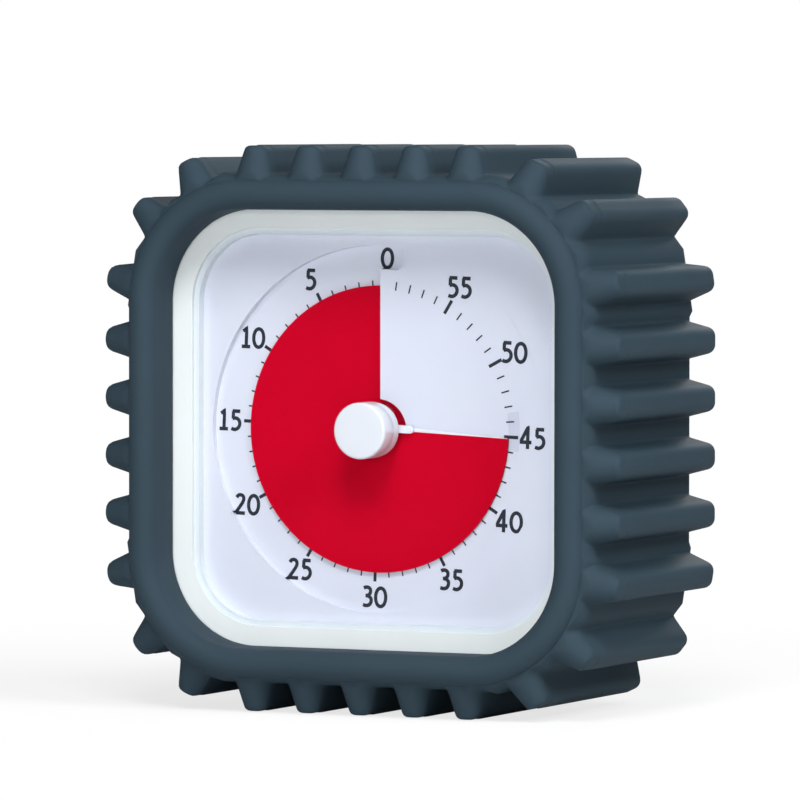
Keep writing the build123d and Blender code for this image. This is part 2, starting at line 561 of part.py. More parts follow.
def rear_shell():
    """Back half of the case with the battery bay, the sounder's seat and the switch's slot."""
    shell = ring(CASE_HALF, CASE_INNER, CASE_BACK, -CASE_SPLIT)
    shell = shell + ring(CASE_INNER + RABBET_WALL, CASE_INNER, -CASE_SPLIT, -CASE_SPLIT + RABBET_DEPTH)
    shell = shell + slab(square(CASE_HALF), CASE_BACK, CASE_FLOOR)
    bay_top = CELL_HEIGHT + BAY_HALF_HEIGHT
    bay_bottom = CELL_HEIGHT - BAY_HALF_HEIGHT
    shell = shell + block(-BAY_HALF - BAY_WALL, BAY_HALF + BAY_WALL, bay_bottom - BAY_WALL,
                          bay_top + BAY_WALL, CASE_FLOOR, BAY_FLOOR + BAY_WALL)
    seat_at = (0.0, SOUNDER_HEIGHT)
    seat_inner = SOUNDER_RADIUS + SOUNDER_GAP
    shell = shell + rod(seat_inner + SEAT_WALL, CASE_FLOOR, CASE_FLOOR + SEAT_HEIGHT, seat_at)
    shell = shell - rod(seat_inner, CASE_FLOOR + SEAT_LEDGE, CASE_FLOOR + SEAT_HEIGHT, seat_at)
    shell = shell - rod(SOUNDER_RADIUS - SEAT_LEDGE_WIDTH, CASE_FLOOR, CASE_FLOOR + SEAT_HEIGHT, seat_at)
    for x_side, y_side in CORNERS:
        at = (x_side * POST_DIAGONAL, y_side * POST_DIAGONAL)
        post = rod(SCREW_POST_RADIUS, CASE_FLOOR, -CASE_SPLIT - RABBET_GAP, at)
        shell = shell + (post & slab(square(CASE_HALF - CASE_WALL / 2), CASE_BACK, -CASE_SPLIT))
        shell = shell - rod(CASE_SCREW_RADIUS + SCREW_GAP, CASE_BACK, -CASE_SPLIT, at)
        well = CASE_SCREW_RADIUS * HEAD_RADIUS_RATIO + SCREW_GAP
        shell = shell - rod(well, CASE_BACK, -CASE_SCREW_HEAD, at)
    shell = shell - block(-BAY_HALF, BAY_HALF, bay_bottom, bay_top, CASE_BACK, BAY_FLOOR)
    for outer in (-BAY_HALF + CONTACT_THICKNESS + TONGUE_GAP, BAY_HALF):
        inner = outer - CONTACT_THICKNESS - TONGUE_GAP
        tongue = TONGUE_WIDTH / 2 + TONGUE_GAP
        shell = shell - block(inner, outer, CELL_HEIGHT - tongue, CELL_HEIGHT + tongue, BAY_FLOOR,
                              BAY_FLOOR + BAY_WALL)
    shell = shell - door_seat(DOOR_GAP, CASE_BACK, DOOR_INNER + DOOR_SEAT_GAP)
    hole_places = [seat_at]
    for number in range(SOUND_HOLES):
        hole_places.append(polar(seat_at, SOUND_HOLE_CIRCLE, 360.0 * number / SOUND_HOLES))
    for at in hole_places:
        shell = shell - rod(SOUND_HOLE_RADIUS, CASE_BACK, CASE_FLOOR, at)
    slot_half = (NUB_LENGTH + SWITCH_TRAVEL) / 2 + SLIDER_GAP
    slot_rise = NUB_WIDTH / 2 + SLIDER_GAP
    return shell - block(SWITCH_X - slot_half, SWITCH_X + slot_half, SWITCH_Y - slot_rise,
                         SWITCH_Y + slot_rise, CASE_BACK, CASE_FLOOR)


def lens():
    """Clear cover over the dial, with the hole that the knob stands in."""
    cover = slab(square(LENS_HALF), LENS_BACK, LENS_BACK + LENS_THICKNESS)
    return cover - rod(KNOB_RADIUS + KNOB_GAP, LENS_BACK, LENS_BACK + LENS_THICKNESS)


def case_screws():
    """Four screws that hold the two halves of the case together."""
    places = [(x_side * POST_DIAGONAL, y_side * POST_DIAGONAL) for x_side, y_side in CORNERS]
    return [screw(CASE_SCREW_RADIUS, CASE_SCREW_LENGTH, -CASE_SCREW_HEAD, at) for at in places]


def battery_door():
    """Cover of the battery bay with finger grooves and two locating lugs."""
    door = door_seat(0, CASE_BACK, DOOR_INNER)
    lug_top = CELL_HEIGHT + BAY_HALF_HEIGHT - DOOR_GAP
    lug_bottom = CELL_HEIGHT - BAY_HALF_HEIGHT + DOOR_GAP
    lug_front = DOOR_INNER + DOOR_LUG
    half = DOOR_LUG_LENGTH / 2
    door = door + block(-half, half, lug_top - DOOR_LUG, lug_top, DOOR_INNER, lug_front)
    door = door + block(-half, half, lug_bottom, lug_bottom + DOOR_LUG, DOOR_INNER, lug_front)
    for number in range(GRIP_COUNT):
        height = CELL_HEIGHT + (number - (GRIP_COUNT - 1) / 2) * GRIP_STEP
        door = door - block(-GRIP_WIDTH / 2, GRIP_WIDTH / 2, height - GRIP_STEP / 4,
                            height + GRIP_STEP / 4, CASE_BACK, CASE_BACK + GRIP_DEPTH)
    return door


# ---------------------------------------------------------------- dial and red disc
def helical_sheet(inner, outer, thickness):
    """One turn of a sheet that rises by RAMP_RISE, from +X anticlockwise, its underside at 0."""
    inner_low = Edge.make_helix(RAMP_RISE, RAMP_RISE, inner)
    outer_low = Edge.make_helix(RAMP_RISE, RAMP_RISE, outer)
    inner_high = Pos(0, 0, thickness) * inner_low
    outer_high = Pos(0, 0, thickness) * outer_low
    faces = [
        Face.make_surface_from_curves(inner_low, outer_low),
        Face.make_surface_from_curves(inner_high, outer_high),
        Face.make_surface_from_curves(inner_low, inner_high),
        Face.make_surface_from_curves(outer_low, outer_high),
    ]
    for rise in (0.0, RAMP_RISE):
        corners = [(inner, 0, rise), (outer, 0, rise), (outer, 0, rise + thickness),
                   (inner, 0, rise + thickness)]
        faces.append(Face(Wire.make_polygon([Vector(*corner) for corner in corners])))
    return Solid(Shell(faces))


def sector(inner, outer, first, last, back, front):
    """Part of a flat ring between two angles, anticlockwise from +X."""
    reach = 2 * outer
    middle = (first + last) / 2
    wedge = make_face(Polyline((0, 0), polar((0, 0), reach, first), polar((0, 0), reach, middle),
                               polar((0, 0), reach, last), close=True))
    return slab((Circle(outer) - Circle(inner)) & wedge, back, front)


def dial_plate():
    """Dial: flat border, one turn of ramp with its step at the top, zero pocket, movement posts."""
    floor = -RAMP_RISE - RAMP_WALL
    wall_radius = RECESS_RADIUS + RECESS_WALL
    border = slab(square(DIAL_HALF) - Circle(RECESS_RADIUS), -DIAL_THICKNESS, 0)
    border = border + slab(Circle(wall_radius) - Circle(RECESS_RADIUS), floor, 0)
    ramp = helical_sheet(DIAL_HOLE_RADIUS, RECESS_RADIUS + RECESS_WALL / 2, RAMP_WALL)
    ramp = Rot(0, 0, 90) * Pos(0, 0, floor) * ramp
    tray_inner = POCKET_RADIUS - POCKET_WALL
    tray_right = POCKET_WIDTH + POCKET_WALL
    tray_area = block(0, tray_right, 0, wall_radius, floor, 1)
    outer_rod = rod(RECESS_RADIUS + RECESS_WALL / 2, floor, 1)
    tray_gap = (outer_rod - rod(tray_inner, floor, 1)) & tray_area
    ramp = ramp - tray_gap
    ramp = ramp - block(0, SLOT_WIDTH, 0, tray_inner, -RAMP_WALL - DISC_GAP, 1)
    tray = (rod(RECESS_RADIUS + RECESS_WALL / 2, floor, 0) - rod(tray_inner, floor, 0)) & tray_area
    room = block(-POCKET_WIDTH, POCKET_WIDTH, 0, wall_radius, -RAMP_RISE, 1)
    room = room & (rod(RECESS_RADIUS, -RAMP_RISE, 1) - rod(POCKET_RADIUS, -RAMP_RISE, 1))
    upright = room.edges().filter_by(Axis.Z).filter_by_position(
        Axis.X, POCKET_WIDTH - TOUCH, POCKET_WIDTH + TOUCH
    )
    room = fillet(upright, POCKET_ROUND)
    dial = border + ramp + (tray - room)
    for x_side, y_side in CORNERS:
        at = (x_side * MOVEMENT_POST, y_side * MOVEMENT_POST)
        dial = dial + rod(MOVEMENT_POST_RADIUS, -MOVEMENT_FRONT, -DIAL_THICKNESS, at)
        dial = dial - rod(PLATE_SCREW_RADIUS, -MOVEMENT_FRONT, -DIAL_THICKNESS, at)
    for x_side, y_side in SIDES:
        at = (x_side * DIAL_SCREW_PLACE, y_side * DIAL_SCREW_PLACE)
        dial = dial - rod(DIAL_SCREW_RADIUS + SCREW_GAP, -DIAL_THICKNESS, 0, at)
    return dial


def dial_screws():
    """Four small screws that hold the dial against the back of the bezel."""
    places = [(x_side * DIAL_SCREW_PLACE, y_side * DIAL_SCREW_PLACE) for x_side, y_side in SIDES]
    return [screw(DIAL_SCREW_RADIUS, DIAL_THICKNESS + DIAL_SCREW_GRIP, -DIAL_THICKNESS, at) for at in places]


def red_disc():
    """The red film: one turn of thin sheet, slit along one radius, wound up to SET_TURN."""
    film = helical_sheet(HUB_RADIUS + HUB_GLUE, DISC_RADIUS, DISC_THICKNESS)
    return Rot(0, 0, LEAD_ANGLE) * Pos(0, 0, FILM_LOW) * film


def disc_tab():
    """Clear tab on the film's rim at its leading edge."""
    film_edge = DISC_RADIUS + HUB_GLUE
    return sector(film_edge, TAB_RADIUS, LEAD_ANGLE - TAB_BEHIND, LEAD_ANGLE + TAB_AHEAD,
                  FILM_HIGH, FILM_HIGH + DISC_THICKNESS)


def shaft_section(growth):
    """The D-shaped section of the arbor's front length, grown by a gap."""
    reach = ARBOR_RADIUS + growth
    cut = Pos(ARBOR_FLAT + growth + reach, 0) * Rectangle(2 * reach, 4 * reach)
    return Circle(reach) - cut


def disc_hub():
    """Hub that carries the film and slides on the arbor, with the arm over the leading edge."""
    hub = rod(HUB_RADIUS, -HUB_BACK, HUB_FRONT)
    hub = hub + rod(HUB_FLANGE_RADIUS, -HUB_BACK, -HUB_BACK + HUB_FLANGE)
    arm_back = HUB_FRONT - ARM_THICKNESS
    arm = block(0, ARM_LENGTH - ARM_AHEAD / 2, -ARM_BEHIND, ARM_AHEAD, arm_back, HUB_FRONT)
    end_middle = (ARM_LENGTH - ARM_PEG_RADIUS, (ARM_AHEAD - ARM_BEHIND) / 2)
    arm = arm + rod((ARM_AHEAD + ARM_BEHIND) / 2, arm_back, HUB_FRONT, end_middle)
    arm = arm + rod(ARM_PEG_RADIUS / 2, arm_back, HUB_FRONT + ARM_PEG_HEIGHT, end_middle)
    hub = hub + Rot(0, 0, LEAD_ANGLE) * arm
    return hub - slab(shaft_section(SLIDING_GAP), -HUB_BACK, HUB_FRONT)


def knob():
    """White setting knob, pressed on the arbor's front end."""
    cap = rod(KNOB_RADIUS, KNOB_COLLAR_HEIGHT, KNOB_FRONT)
    cap_edge = cap.edges().filter_by_position(Axis.Z, KNOB_FRONT - TOUCH, KNOB_FRONT + TOUCH)
    cap = fillet(cap_edge, KNOB_ROUND)
    body = cap + rod(KNOB_RADIUS - KNOB_COLLAR_STEP, KNOB_BACK, KNOB_COLLAR_HEIGHT)
    return body - slab(shaft_section(0), KNOB_BACK, ARBOR_FRONT)


# ---------------------------------------------------------------- arbor and clutch
def arbor():
    """Steel shaft: D-shaped front, journal, clip groove, clutch collar and rear pivot."""
    shaft = slab(shaft_section(0), -JOURNAL_FRONT, ARBOR_FRONT)
    shaft = shaft + rod(JOURNAL_RADIUS, COLLAR_FRONT, -JOURNAL_FRONT)
    groove = rod(JOURNAL_RADIUS, CLIP_FRONT - CLIP_THICKNESS, CLIP_FRONT)
    shaft = shaft - (groove - rod(CLIP_GROOVE_RADIUS, CLIP_FRONT - CLIP_THICKNESS, CLIP_FRONT))
    shaft = shaft + rod(COLLAR_RADIUS, COLLAR_FRONT - COLLAR_THICKNESS, COLLAR_FRONT)
    shaft = shaft + rod(TAIL_RADIUS, COVER_FLOOR + PIVOT_END_GAP, COLLAR_FRONT - COLLAR_THICKNESS)
    return shaft + rod(TAIL_PIVOT_RADIUS, COVER_FLOOR - PIVOT_DEPTH, COVER_FLOOR + PIVOT_END_GAP)


def arbor_clip():
    """Open clip in the arbor's groove."""
    return sector(CLIP_GROOVE_RADIUS, CLIP_RADIUS, CLIP_OPENING / 2, 180,
                  CLIP_FRONT - CLIP_THICKNESS, CLIP_FRONT) + sector(
        CLIP_GROOVE_RADIUS, CLIP_RADIUS, 180, 360 - CLIP_OPENING / 2,
        CLIP_FRONT - CLIP_THICKNESS, CLIP_FRONT)


def clutch_spring():
    """Dished washer that presses the centre wheel on the arbor's collar."""
    inner = JOURNAL_RADIUS + RUNNING_GAP
    front = CLIP_FRONT - CLIP_THICKNESS
    back = -CENTRE_LEVEL
    profile = Polyline((inner, 0, front), (SPRING_RADIUS, 0, back + SPRING_THICKNESS),
                       (SPRING_RADIUS, 0, back), (inner, 0, front - SPRING_THICKNESS), close=True)
    return revolve(make_face(profile), Axis.Z)


# ---------------------------------------------------------------- gear train
def gear_outline(teeth, module, toward, gap):
    """Involute gear sketch with a tooth, or a gap between teeth, in the direction "toward"."""
    pitch_radius = module * teeth / 2
    base_radius = pitch_radius * math.cos(math.radians(PRESSURE_ANGLE))
    tip_radius = pitch_radius + module * ADDENDUM
    root_radius = pitch_radius - module * DEDENDUM
    involute = math.tan(math.radians(PRESSURE_ANGLE)) - math.radians(PRESSURE_ANGLE)
    half_pitch = math.pi / teeth
    half_tooth = half_pitch / 2 - FLANK_GAP / (2 * pitch_radius)
    start = max(base_radius, root_radius)
    flank = [(root_radius, 0.0)] if root_radius < base_radius else []
    for number in range(FLANK_POINTS):
        radius = start + (tip_radius - start) * number / (FLANK_POINTS - 1)
        flank.append((radius, math.acos(base_radius / radius)))
    points = []
    first = math.radians(toward) + (half_pitch if gap else 0.0)
    for tooth in range(teeth):
        middle = first + 2 * half_pitch * tooth
        half_angles = [half_tooth + involute - (math.tan(rise) - rise) for radius, rise in flank]
        for side in (-1, 1):
            run = list(zip(flank, half_angles))
            if side == 1:
                run.reverse()
            for (radius, rise), half in run:
                turn = middle + side * half
                points.append((radius * math.cos(turn), radius * math.sin(turn)))
    return make_face(Polyline(*points, close=True))


def gear(teeth, module, toward, gap, level, thickness, at):
    """A gear whose front lies a level behind the dial face."""
    return Pos(*at) * slab(gear_outline(teeth, module, toward, gap), -level - thickness, -level)


def staff(at):
    """The shaft of a wheel between the two plates, with its pivots."""
    front = PLATE_BACK - PIVOT_END_GAP
    back = COVER_FLOOR + PIVOT_END_GAP
    body = rod(STAFF_RADIUS, back, front, at)
    return body + rod(PIVOT_RADIUS, COVER_FLOOR - PIVOT_DEPTH, PLATE_BACK + PIVOT_DEPTH, at)


def pinion(module, toward, driven_level, driven_thickness, at):
    """The pinion that drives a wheel, a little longer than the wheel is thick."""
    return gear(PINION_TEETH, module, toward, False, driven_level - PINION_MARGIN,
                driven_thickness + 2 * PINION_MARGIN, at)


def centre_wheel():
    """Wheel that turns the arbor once an hour through the clutch."""
    wheel = gear(CENTRE_TEETH, CENTRE_MODULE, THIRD_ANGLE, True, CENTRE_LEVEL,
                 CENTRE_WHEEL_THICKNESS, (0.0, 0.0))
    return wheel - rod(JOURNAL_RADIUS + RUNNING_GAP, -CENTRE_LEVEL - CENTRE_WHEEL_THICKNESS, -CENTRE_LEVEL)


def third_wheel():
    """Wheel and pinion that drive the centre wheel."""
    wheel = gear(THIRD_TEETH, THIRD_MODULE, SECOND_ANGLE, True, THIRD_LEVEL, WHEEL_THICKNESS, THIRD_PLACE)
    driver = pinion(CENTRE_MODULE, THIRD_ANGLE + 180, CENTRE_LEVEL, CENTRE_WHEEL_THICKNESS, THIRD_PLACE)
    return wheel + driver + staff(THIRD_PLACE)


def second_wheel():
    """Wheel and pinion that turn once a minute."""
    wheel = gear(SECOND_TEETH, SECOND_MODULE, INTERMEDIATE_ANGLE, True, SECOND_LEVEL,
                 WHEEL_THICKNESS, SECOND_PLACE)
    driver = pinion(THIRD_MODULE, SECOND_ANGLE + 180, THIRD_LEVEL, WHEEL_THICKNESS, SECOND_PLACE)
    return wheel + driver + staff(SECOND_PLACE)


def intermediate_wheel():
    """Wheel and pinion between the rotor and the second wheel."""
    wheel = gear(INTERMEDIATE_TEETH, INTERMEDIATE_MODULE, ROTOR_ANGLE, True, INTERMEDIATE_LEVEL,
                 WHEEL_THICKNESS, INTERMEDIATE_PLACE)
    driver = pinion(SECOND_MODULE, INTERMEDIATE_ANGLE + 180, SECOND_LEVEL, WHEEL_THICKNESS,
                    INTERMEDIATE_PLACE)
    return wheel + driver + staff(INTERMEDIATE_PLACE)


def rotor_pinion():
    """The stepping motor's shaft and pinion."""
    driver = pinion(INTERMEDIATE_MODULE, ROTOR_ANGLE + 180, INTERMEDIATE_LEVEL, WHEEL_THICKNESS,
                    ROTOR_PLACE)
    return driver + staff(ROTOR_PLACE)


def rotor_magnet():
    """The stepping motor's ring magnet on the rotor's shaft."""
    back = -MAGNET_LEVEL - MAGNET_THICKNESS
    magnet = rod(MAGNET_RADIUS, back, -MAGNET_LEVEL, ROTOR_PLACE)
    return magnet - rod(STAFF_RADIUS, back, -MAGNET_LEVEL, ROTOR_PLACE)


# ---------------------------------------------------------------- movement, fixed pieces
def stator():
    """Loop of soft iron round the rotor and through the coil."""
    back = -STATOR_LEVEL - STATOR_THICKNESS
    loop = block(STATOR_LEFT, STATOR_RIGHT, STATOR_BOTTOM, STATOR_TOP, back, -STATOR_LEVEL)
    hole_radius = MAGNET_RADIUS + STATOR_GAP
    yoke_bottom = ROTOR_PLACE[1] - hole_radius - STATOR_BAR / 2
    loop = loop - block(STATOR_LEFT + STATOR_BAR, STATOR_RIGHT - STATOR_BAR, STATOR_BOTTOM + STATOR_BAR,
                        yoke_bottom, back, -STATOR_LEVEL)
    loop = loop - rod(hole_radius, back, -STATOR_LEVEL, ROTOR_PLACE)
    for direction in (45, 225):
        loop = loop - rod(STATOR_NOTCH, back, -STATOR_LEVEL, polar(ROTOR_PLACE, hole_radius, direction))
    return loop


def bobbin_box(margin, left, right):
    """A box round the stator's lower bar."""
    half_height = STATOR_BAR / 2 + margin
    half_depth = STATOR_THICKNESS / 2 + margin
    return block(left, right, BAR_MIDDLE - half_height, BAR_MIDDLE + half_height,
                 STATOR_MIDDLE - half_depth, STATOR_MIDDLE + half_depth)


def coil_bobbin():
    """Plastic bobbin on the stator's lower bar."""
    body = bobbin_box(BOBBIN_CORE, COIL_LEFT, COIL_RIGHT)
    body = body + bobbin_box(BOBBIN_RIM, COIL_LEFT, COIL_LEFT + BOBBIN_FLANGE)
    body = body + bobbin_box(BOBBIN_RIM, COIL_RIGHT - BOBBIN_FLANGE, COIL_RIGHT)
    return body - bobbin_box(BOBBIN_GAP, COIL_LEFT, COIL_RIGHT)


def coil_winding():
    """Copper winding on the bobbin."""
    left = COIL_LEFT + BOBBIN_FLANGE
    right = COIL_RIGHT - BOBBIN_FLANGE
    winding = bobbin_box(BOBBIN_CORE + WINDING_THICKNESS, left, right)
    winding = fillet(winding.edges().filter_by(Axis.X), WINDING_THICKNESS / 2)
    return winding - bobbin_box(BOBBIN_CORE, left, right)


def movement_circuit_board():
    """Circuit board with its chip under a drop of resin."""
    board = block(BOARD_LEFT, BOARD_RIGHT, BOARD_BOTTOM, BOARD_TOP, BOARD_BACK, BOARD_FRONT)
    middle = ((BOARD_LEFT + BOARD_RIGHT) / 2, (BOARD_TOP + BOARD_BOTTOM) / 2 + CHIP_RADIUS)
    chip = rod(CHIP_RADIUS, BOARD_FRONT, BOARD_FRONT + CHIP_HEIGHT, middle)
    return board + chip


def quartz_crystal():
    """The quartz crystal's metal can, lying on the board."""
    can = Rot(0, 90, 0) * Cylinder(CRYSTAL_RADIUS, CRYSTAL_LENGTH)
    middle_x = (BOARD_LEFT + BOARD_RIGHT) / 2
    middle_y = BOARD_BOTTOM + 2 * CRYSTAL_RADIUS
    return Pos(middle_x, middle_y, BOARD_FRONT + CRYSTAL_RADIUS) * can


def pivot_holes(back, front):
    """Pivot holes of the four wheel shafts between two heights."""
    staffs = (THIRD_PLACE, SECOND_PLACE, INTERMEDIATE_PLACE, ROTOR_PLACE)
    return [rod(PIVOT_RADIUS + PIVOT_GAP, back, front, at) for at in staffs]


def cover_ear_places():
    """Middles of the rear cover's four ears, left and right of it."""
    rise = (COVER_TOP - COVER_BOTTOM) / 2 - COVER_EAR
    middle = (COVER_TOP + COVER_BOTTOM) / 2
    reach = COVER_HALF + COVER_EAR / 2 - COVER_WALL / 2
    return [(x_side * reach, middle + y_side * rise) for x_side, y_side in CORNERS]


def movement_front_plate():
    """Square plate behind the dial that carries the train's front pivots and the arbor's bush."""
    outline = RectangleRounded(2 * PLATE_HALF, 2 * PLATE_HALF, PLATE_ROUND)
    plate = slab(outline, PLATE_BACK, -MOVEMENT_FRONT)
    plate = plate - rod(JOURNAL_RADIUS + RUNNING_GAP, PLATE_BACK, -MOVEMENT_FRONT)
    plate = plate - pivot_holes(PLATE_BACK, PLATE_BACK + PIVOT_DEPTH + PIVOT_END_GAP)
    for x_side, y_side in CORNERS:
        at = (x_side * MOVEMENT_POST, y_side * MOVEMENT_POST)
        plate = plate - rod(PLATE_SCREW_RADIUS + SCREW_GAP, PLATE_BACK, -MOVEMENT_FRONT, at)
    for at in cover_ear_places():
        plate = plate - rod(COVER_SCREW_RADIUS, PLATE_BACK, -MOVEMENT_FRONT, at)
    return plate


def movement_rear_cover():
    """Box behind the train with the rear pivots, ears for its screws and posts for the board."""
    body = block(-COVER_HALF, COVER_HALF, COVER_BOTTOM, COVER_TOP, COVER_BACK, PLATE_BACK)
    body = body - block(-COVER_HALF + COVER_WALL, COVER_HALF - COVER_WALL, COVER_BOTTOM + COVER_WALL,
                        COVER_TOP - COVER_WALL, COVER_FLOOR, PLATE_BACK)
    for at in cover_ear_places():
        ear_back = PLATE_BACK - COVER_EAR_THICKNESS
        half = COVER_EAR / 2
        ear = block(at[0] - half, at[0] + half, at[1] - half, at[1] + half, ear_back, PLATE_BACK)
        inside = block(-COVER_HALF + COVER_WALL, COVER_HALF - COVER_WALL, COVER_BOTTOM, COVER_TOP,
                       COVER_BACK, PLATE_BACK)
        body = body + (ear - inside)
        body = body - rod(COVER_SCREW_RADIUS + SCREW_GAP, ear_back, PLATE_BACK, at)
    inset = BOARD_POST_INSET
    for x in (BOARD_LEFT + inset, BOARD_RIGHT - inset):
        for y in (BOARD_BOTTOM + inset, BOARD_TOP - inset):
            body = body + rod(STAFF_RADIUS, COVER_FLOOR, BOARD_BACK, (x, y))
    for x in (STATOR_LEFT + STATOR_BAR / 2, STATOR_RIGHT - STATOR_BAR / 2):
        body = body + rod(STAFF_RADIUS, COVER_FLOOR, -STATOR_LEVEL - STATOR_THICKNESS, (x, 0.0))
    body = body - pivot_holes(COVER_FLOOR - PIVOT_DEPTH - PIVOT_END_GAP, COVER_FLOOR)
    body = body - rod(TAIL_PIVOT_RADIUS + PIVOT_GAP, COVER_FLOOR - PIVOT_DEPTH - PIVOT_END_GAP, COVER_FLOOR)
    hole = WIRE_RADIUS + WIRE_GAP
    for x in (BOARD_PAD_X, SWITCH_PAD_X):
        body = body - rod(hole, COVER_BACK, COVER_FLOOR, (x, BOARD_PAD_Y))
    for left, y in ((-COVER_HALF, MINUS_LEAD_Y), (COVER_HALF - COVER_WALL, PLUS_LEAD_Y)):
        body = body - block(left, left + COVER_WALL, y - hole, y + hole, WIRE_ON_BOARD - hole,
                            WIRE_ON_BOARD + hole)
    return body


def movement_screws():
    """Four screws that hold the movement on the dial's posts."""
    places = [(x_side * MOVEMENT_POST, y_side * MOVEMENT_POST) for x_side, y_side in CORNERS]
    return [screw(PLATE_SCREW_RADIUS, PLATE_SCREW_LENGTH, PLATE_BACK, at) for at in places]


def cover_screws():
    """Four screws that hold the movement's rear cover on its front plate."""
    seat = PLATE_BACK - COVER_EAR_THICKNESS
    return [screw(COVER_SCREW_RADIUS, COVER_SCREW_LENGTH, seat, at) for at in cover_ear_places()]


# ---------------------------------------------------------------- battery
def battery_cell():
    """AA cell lying across the bay, its nub to the right."""
    profile = Polyline((0, 0), (CELL_RADIUS, 0), (CELL_RADIUS, CELL_LENGTH), (CELL_NUB_RADIUS, CELL_LENGTH),
                       (CELL_NUB_RADIUS, CELL_LENGTH + CELL_NUB_LENGTH), (0, CELL_LENGTH + CELL_NUB_LENGTH),
                       close=True)
    cell = revolve(make_face(profile), Axis.Y)
    cell = fillet(cell.edges().sort_by(Axis.Y)[0:1], CELL_ROUND)
    return Pos(CELL_LEFT, CELL_HEIGHT, CELL_MIDDLE) * Rot(0, 0, -90) * cell


def contact_plate(left, right):
    """A contact's square plate against an end wall of the bay, its tongue through the bay's floor."""
    half = CONTACT_SIZE / 2
    tongue = TONGUE_WIDTH / 2
    plate = block(left, right, CELL_HEIGHT - half, CELL_HEIGHT + half, CELL_MIDDLE - half,
                  CELL_MIDDLE + half)
    return plate + block(left, right, CELL_HEIGHT - tongue, CELL_HEIGHT + tongue, CELL_MIDDLE + half,
                         WIRE_ON_BOARD + WIRE_RADIUS)


def battery_plus_contact():
    """Flat contact at the cell's nub."""
    return contact_plate(BAY_HALF - CONTACT_THICKNESS, BAY_HALF)


def battery_minus_spring():
    """Contact plate and coil spring at the cell's flat end."""
    plate = contact_plate(-BAY_HALF, -BAY_HALF + CONTACT_THICKNESS)
    room = SPRING_LENGTH - 2 * SPRING_WIRE_RADIUS
    path = Edge.make_helix(room / SPRING_TURNS, room, SPRING_COIL_RADIUS)
    start = Plane(origin=path @ 0, z_dir=path % 0)
    coil = sweep(start * Circle(SPRING_WIRE_RADIUS), path=path, is_frenet=True)
    first = -BAY_HALF + CONTACT_THICKNESS + SPRING_WIRE_RADIUS
    return [plate, Pos(first, CELL_HEIGHT, CELL_MIDDLE) * Rot(0, 90, 0) * coil]


# ---------------------------------------------------------------- sound
def sounder():
    """Piezo disc: brass plate with its ceramic."""
    at = (0.0, SOUNDER_HEIGHT)
    seat = CASE_FLOOR + SEAT_LEDGE
    brass = rod(SOUNDER_RADIUS, seat, seat + SOUNDER_THICKNESS, at)
    return brass + rod(CERAMIC_RADIUS, seat + SOUNDER_THICKNESS,
                       seat + SOUNDER_THICKNESS + CERAMIC_THICKNESS, at)


def switch_body():
    """Housing of the sound switch on the inside of the case's back, with its three pins."""
    half_length = SWITCH_LENGTH / 2
    half_width = SWITCH_WIDTH / 2
    front = CASE_FLOOR + SWITCH_DEPTH
    body = block(SWITCH_X - half_length, SWITCH_X + half_length, SWITCH_Y - half_width,
                 SWITCH_Y + half_width, CASE_FLOOR, front)
    room = block(SWITCH_X - half_length + SWITCH_WALL, SWITCH_X + half_length - SWITCH_WALL,
                 SWITCH_Y - half_width + SWITCH_WALL, SWITCH_Y + half_width - SWITCH_WALL,
                 CASE_FLOOR, CASE_FLOOR + SLIDER_THICKNESS + 2 * SLIDER_GAP)
    body = body - room
    for number in (-1, 0, 1):
        x = SWITCH_X + number * PIN_STEP
        body = body + block(x - PIN_SIZE / 2, x + PIN_SIZE / 2, SWITCH_Y - PIN_SIZE / 2,
                            SWITCH_Y + PIN_SIZE / 2, front, PIN_FRONT)
    return body


def switch_slider():
    """Slider of the sound switch at the right end of its travel, seen from the front."""
    middle = SWITCH_X + SWITCH_TRAVEL / 2
    half_width = SWITCH_WIDTH / 2 - SWITCH_WALL - SLIDER_GAP
    base_back = CASE_FLOOR + SLIDER_GAP
    base = block(middle - SLIDER_LENGTH / 2, middle + SLIDER_LENGTH / 2, SWITCH_Y - half_width,
                 SWITCH_Y + half_width, base_back, base_back + SLIDER_THICKNESS)
    nub = block(middle - NUB_LENGTH / 2, middle + NUB_LENGTH / 2, SWITCH_Y - NUB_WIDTH / 2,
                SWITCH_Y + NUB_WIDTH / 2, CASE_BACK - NUB_PROUD, base_back)
    return base + nub


# ---------------------------------------------------------------- wires
def wire(points):
    """A wire along straight runs joined by arcs."""
    path = FilletPolyline(*points, radius=WIRE_BEND)
    start = Plane(origin=path @ 0, z_dir=path % 0)
    return sweep(start * Circle(WIRE_RADIUS), path=path)


def battery_leads():
    """The two wires from the contacts' tongues to the circuit board."""
    level = WIRE_ON_BOARD
    tongue_top = CELL_HEIGHT + TONGUE_WIDTH / 2
    outer = BAY_HALF - CONTACT_THICKNESS / 2
    minus = [(-outer, tongue_top, level), (-outer, MINUS_LEAD_Y, level),
             (BOARD_LEFT + WIRE_PAD, MINUS_LEAD_Y, level)]
    plus = [(outer, tongue_top, level), (outer, PLUS_LEAD_Y, level),
            (BOARD_RIGHT - WIRE_PAD, PLUS_LEAD_Y, level)]
    return [wire(minus), wire(plus)]


